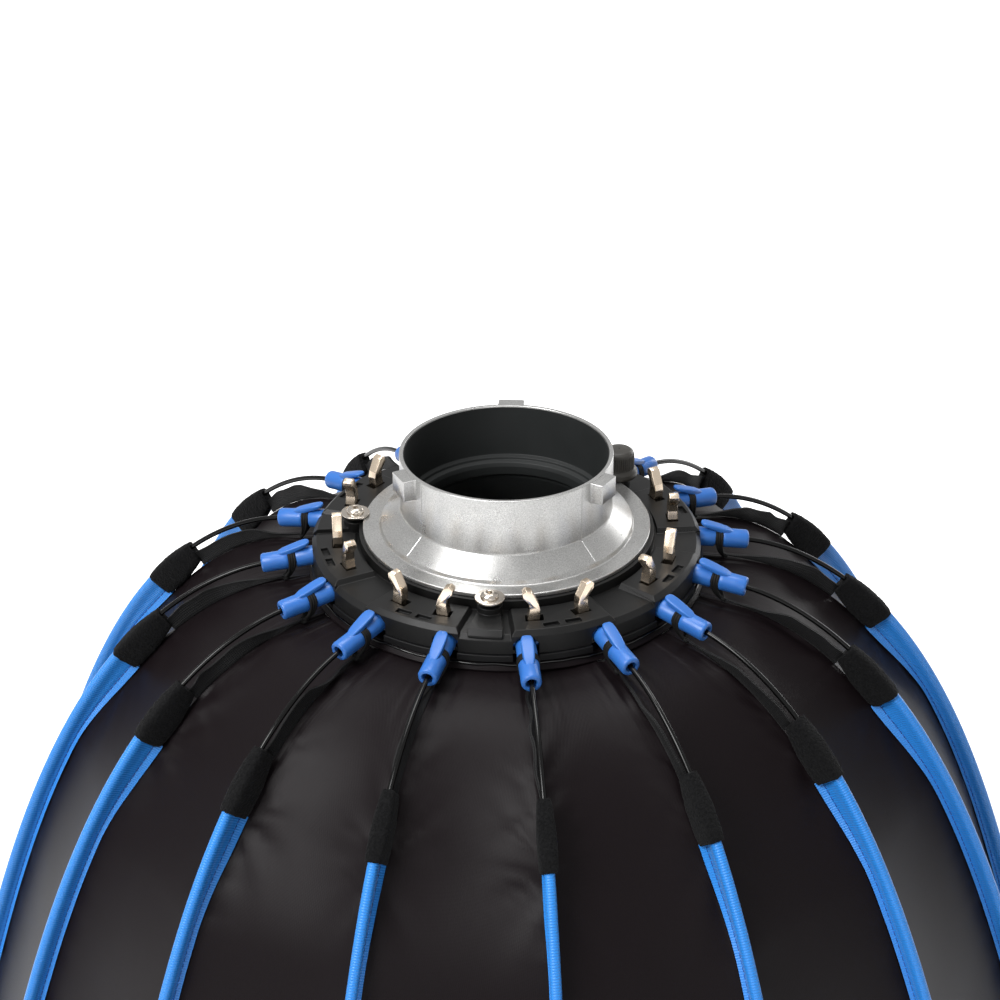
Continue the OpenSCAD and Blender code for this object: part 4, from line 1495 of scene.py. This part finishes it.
def build_stage():
    """Floor, world, lights and camera."""
    scene = bpy.context.scene
    settings = scene.softbox_stage
    build_floor(settings)
    build_world(settings)
    for name, place, aim, size, power in (
        ("key", (-1.2, -1.1, 2.0), (0, 0, 0.3), (1.1, 1.0), 50),
        ("top", (-0.1, 0.3, 2.3), (0, 0, 0.4), (1.3, 0.8), 24),
        ("rim", (1.6, 1.7, 0.8), (0.1, 0, 0.3), (0.5, 1.2), 10),
        ("fill", (0.3, -2.3, 1.1), (0, 0, 0.35), (1.4, 0.9), 5),
        ("under", (0, 0, -1.1), (0, 0, 0), (1.2, 1.2), 9),
    ):
        data = bpy.data.lights.new(name, "AREA")
        data.shape = "RECTANGLE"
        data.size, data.size_y = size
        data.energy = power * settings.light
        lamp = linked(name, data)
        lamp.location = place
        lamp.rotation_euler = (Vector(aim) - Vector(place)).to_track_quat("-Z", "Y").to_euler()

    data = bpy.data.cameras.new("camera")
    data.sensor_width = 36
    data.lens = CAMERA_LENS
    camera = linked("camera", data)
    camera.matrix_world = (
        Matrix.Translation(CAMERA_PLACE)
        @ Matrix.Rotation(math.radians(CAMERA_TILT), 4, "X")
        @ Matrix.Rotation(math.radians(CAMERA_ROLL), 4, "Z")
    )
    scene.camera = camera
    scene.view_settings.view_transform = "Standard"


# ---------------------------------------------------------------- the add-on
class SoftboxSettings(bpy.types.PropertyGroup):
    """What can be set on the softbox before it is built."""

    bands: bpy.props.IntProperty(
        name="Shell bands", description="Bands that each gore is cut in so that it can narrow as it folds",
        default=9, min=4, max=12,
    )
    cell_width: bpy.props.FloatProperty(
        name="Cell width", description="Distance between the middles of neighbouring cells of the grid",
        default=0.0472, min=0.03, max=0.07, unit="LENGTH",
    )
    wall: bpy.props.FloatProperty(
        name="Cell wall", description="Thickness of the grid's fabric strips", default=0.0012, min=0.0008,
        max=0.002, unit="LENGTH",
    )


class StageSettings(bpy.types.PropertyGroup):
    """What can be set on the studio round it."""

    light: bpy.props.FloatProperty(
        name="Light", description="How strong the studio lights are, as a share of their usual power",
        default=1.0, min=0.1, max=4.0, subtype="FACTOR",
    )
    ambient: bpy.props.FloatProperty(
        name="Ambient", description="Strength of the even light from all round",
        default=0.2, min=0.0, max=2.0,
    )
    reflected: bpy.props.FloatProperty(
        name="Reflected", description="How much of the white background shows in shiny surfaces",
        default=0.55, min=0.0, max=1.0, subtype="FACTOR",
    )
    floor_glow: bpy.props.FloatProperty(
        name="Floor glow", description="Light added to the floor so that it runs into the white background",
        default=0.85, min=0.0, max=1.0, subtype="FACTOR",
    )


class SOFTBOX_OT_ring(bpy.types.Operator):
    """Build the moulded speed ring and its base plate"""

    bl_idname = "softbox.ring"
    bl_label = "Speed ring"

    def execute(self, context):
        build_ring()
        return {"FINISHED"}


class SOFTBOX_OT_fasteners(bpy.types.Operator):
    """Build the clamp screws, the plate screws and the clamp washers"""

    bl_idname = "softbox.fasteners"
    bl_label = "Screws and washers"

    def execute(self, context):
        build_fasteners()
        return {"FINISHED"}


class SOFTBOX_OT_knob(bpy.types.Operator):
    """Build the knurled locking knob"""

    bl_idname = "softbox.knob"
    bl_label = "Locking knob"

    def execute(self, context):
        build_knob()
        return {"FINISHED"}


class SOFTBOX_OT_collar(bpy.types.Operator):
    """Build the cast bayonet collar with its flange and lugs"""

    bl_idname = "softbox.collar"
    bl_label = "Mount collar"

    def execute(self, context):
        build_collar()
        return {"FINISHED"}


class SOFTBOX_OT_levers(bpy.types.Operator):
    """Build the finger levers, one inside each rib"""

    bl_idname = "softbox.levers"
    bl_label = "Finger levers"

    def execute(self, context):
        build_levers()
        return {"FINISHED"}


class SOFTBOX_OT_caps(bpy.types.Operator):
    """Build the moulded end caps of the ribs"""

    bl_idname = "softbox.caps"
    bl_label = "End caps"

    def execute(self, context):
        build_caps()
        return {"FINISHED"}


class SOFTBOX_OT_rods(bpy.types.Operator):
    """Build the bent spring rods"""

    bl_idname = "softbox.rods"
    bl_label = "Spring rods"

    def execute(self, context):
        build_rods()
        return {"FINISHED"}


class SOFTBOX_OT_sleeves(bpy.types.Operator):
    """Build the sewn tape sleeves that stand along the ribs"""

    bl_idname = "softbox.sleeves"
    bl_label = "Rib sleeves"

    def execute(self, context):
        build_sleeves()
        return {"FINISHED"}


class SOFTBOX_OT_straps(bpy.types.Operator):
    """Build the tabs, webs and elastic that tie the sleeves to the end caps"""

    bl_idname = "softbox.straps"
    bl_label = "Tie straps"

    def execute(self, context):
        build_straps()
        return {"FINISHED"}


class SOFTBOX_OT_shell(bpy.types.Operator):
    """Build the black shell, gore by gore, and the band that closes it under the ring"""

    bl_idname = "softbox.shell"
    bl_label = "Shell"

    def execute(self, context):
        build_shell()
        build_neck()
        return {"FINISHED"}


class SOFTBOX_OT_diffuser(bpy.types.Operator):
    """Build the white front cloth"""

    bl_idname = "softbox.diffuser"
    bl_label = "Front cloth"

    def execute(self, context):
        build_diffuser()
        return {"FINISHED"}


class SOFTBOX_OT_grid(bpy.types.Operator):
    """Build the honeycomb grid and its border band"""

    bl_idname = "softbox.grid"
    bl_label = "Honeycomb grid"

    def execute(self, context):
        build_grid()
        return {"FINISHED"}


class SOFTBOX_OT_stage(bpy.types.Operator):
    """Set up the floor, the studio lights and the camera"""

    bl_idname = "softbox.stage"
    bl_label = "Stage"

    def execute(self, context):
        build_stage()
        return {"FINISHED"}


class SOFTBOX_PT_panel(bpy.types.Panel):
    """The softbox's settings and the buttons that build it"""

    bl_idname = "SOFTBOX_PT_panel"
    bl_label = "Folding softbox"
    bl_space_type = "VIEW_3D"
    bl_region_type = "UI"
    bl_category = "Softbox"

    def draw(self, context):
        column = self.layout.column()
        for group in (context.scene.softbox, context.scene.softbox_stage):
            for name in group.__annotations__:
                column.prop(group, name)
        for operator in OPERATORS:
            column.operator(operator.bl_idname)


OPERATORS = (
    SOFTBOX_OT_ring, SOFTBOX_OT_fasteners, SOFTBOX_OT_knob, SOFTBOX_OT_collar, SOFTBOX_OT_levers,
    SOFTBOX_OT_caps, SOFTBOX_OT_rods, SOFTBOX_OT_sleeves, SOFTBOX_OT_straps, SOFTBOX_OT_shell,
    SOFTBOX_OT_diffuser, SOFTBOX_OT_grid, SOFTBOX_OT_stage,
)
CLASSES = (SoftboxSettings, StageSettings, *OPERATORS, SOFTBOX_PT_panel)


def register():
    """Registers the classes and hangs the settings on the scene."""
    for cls in CLASSES:
        bpy.utils.register_class(cls)
    bpy.types.Scene.softbox = bpy.props.PointerProperty(type=SoftboxSettings)
    bpy.types.Scene.softbox_stage = bpy.props.PointerProperty(type=StageSettings)


def unregister():
    """Takes back what register() did."""
    del bpy.types.Scene.softbox_stage
    del bpy.types.Scene.softbox
    for cls in reversed(CLASSES):
        bpy.utils.unregister_class(cls)


def main():
    """Builds everything through the operators."""
    register()
    make_paints()
    SHARED["stitches"], SHARED["walls"] = stitch_tree(), wall_tree()
    bpy.ops.softbox.ring()
    bpy.ops.softbox.fasteners()
    bpy.ops.softbox.knob()
    bpy.ops.softbox.collar()
    bpy.ops.softbox.levers()
    bpy.ops.softbox.caps()
    bpy.ops.softbox.rods()
    bpy.ops.softbox.sleeves()
    bpy.ops.softbox.straps()
    bpy.ops.softbox.shell()
    bpy.ops.softbox.diffuser()
    bpy.ops.softbox.grid()
    bpy.ops.softbox.stage()


if __name__ == "__main__":
    main()
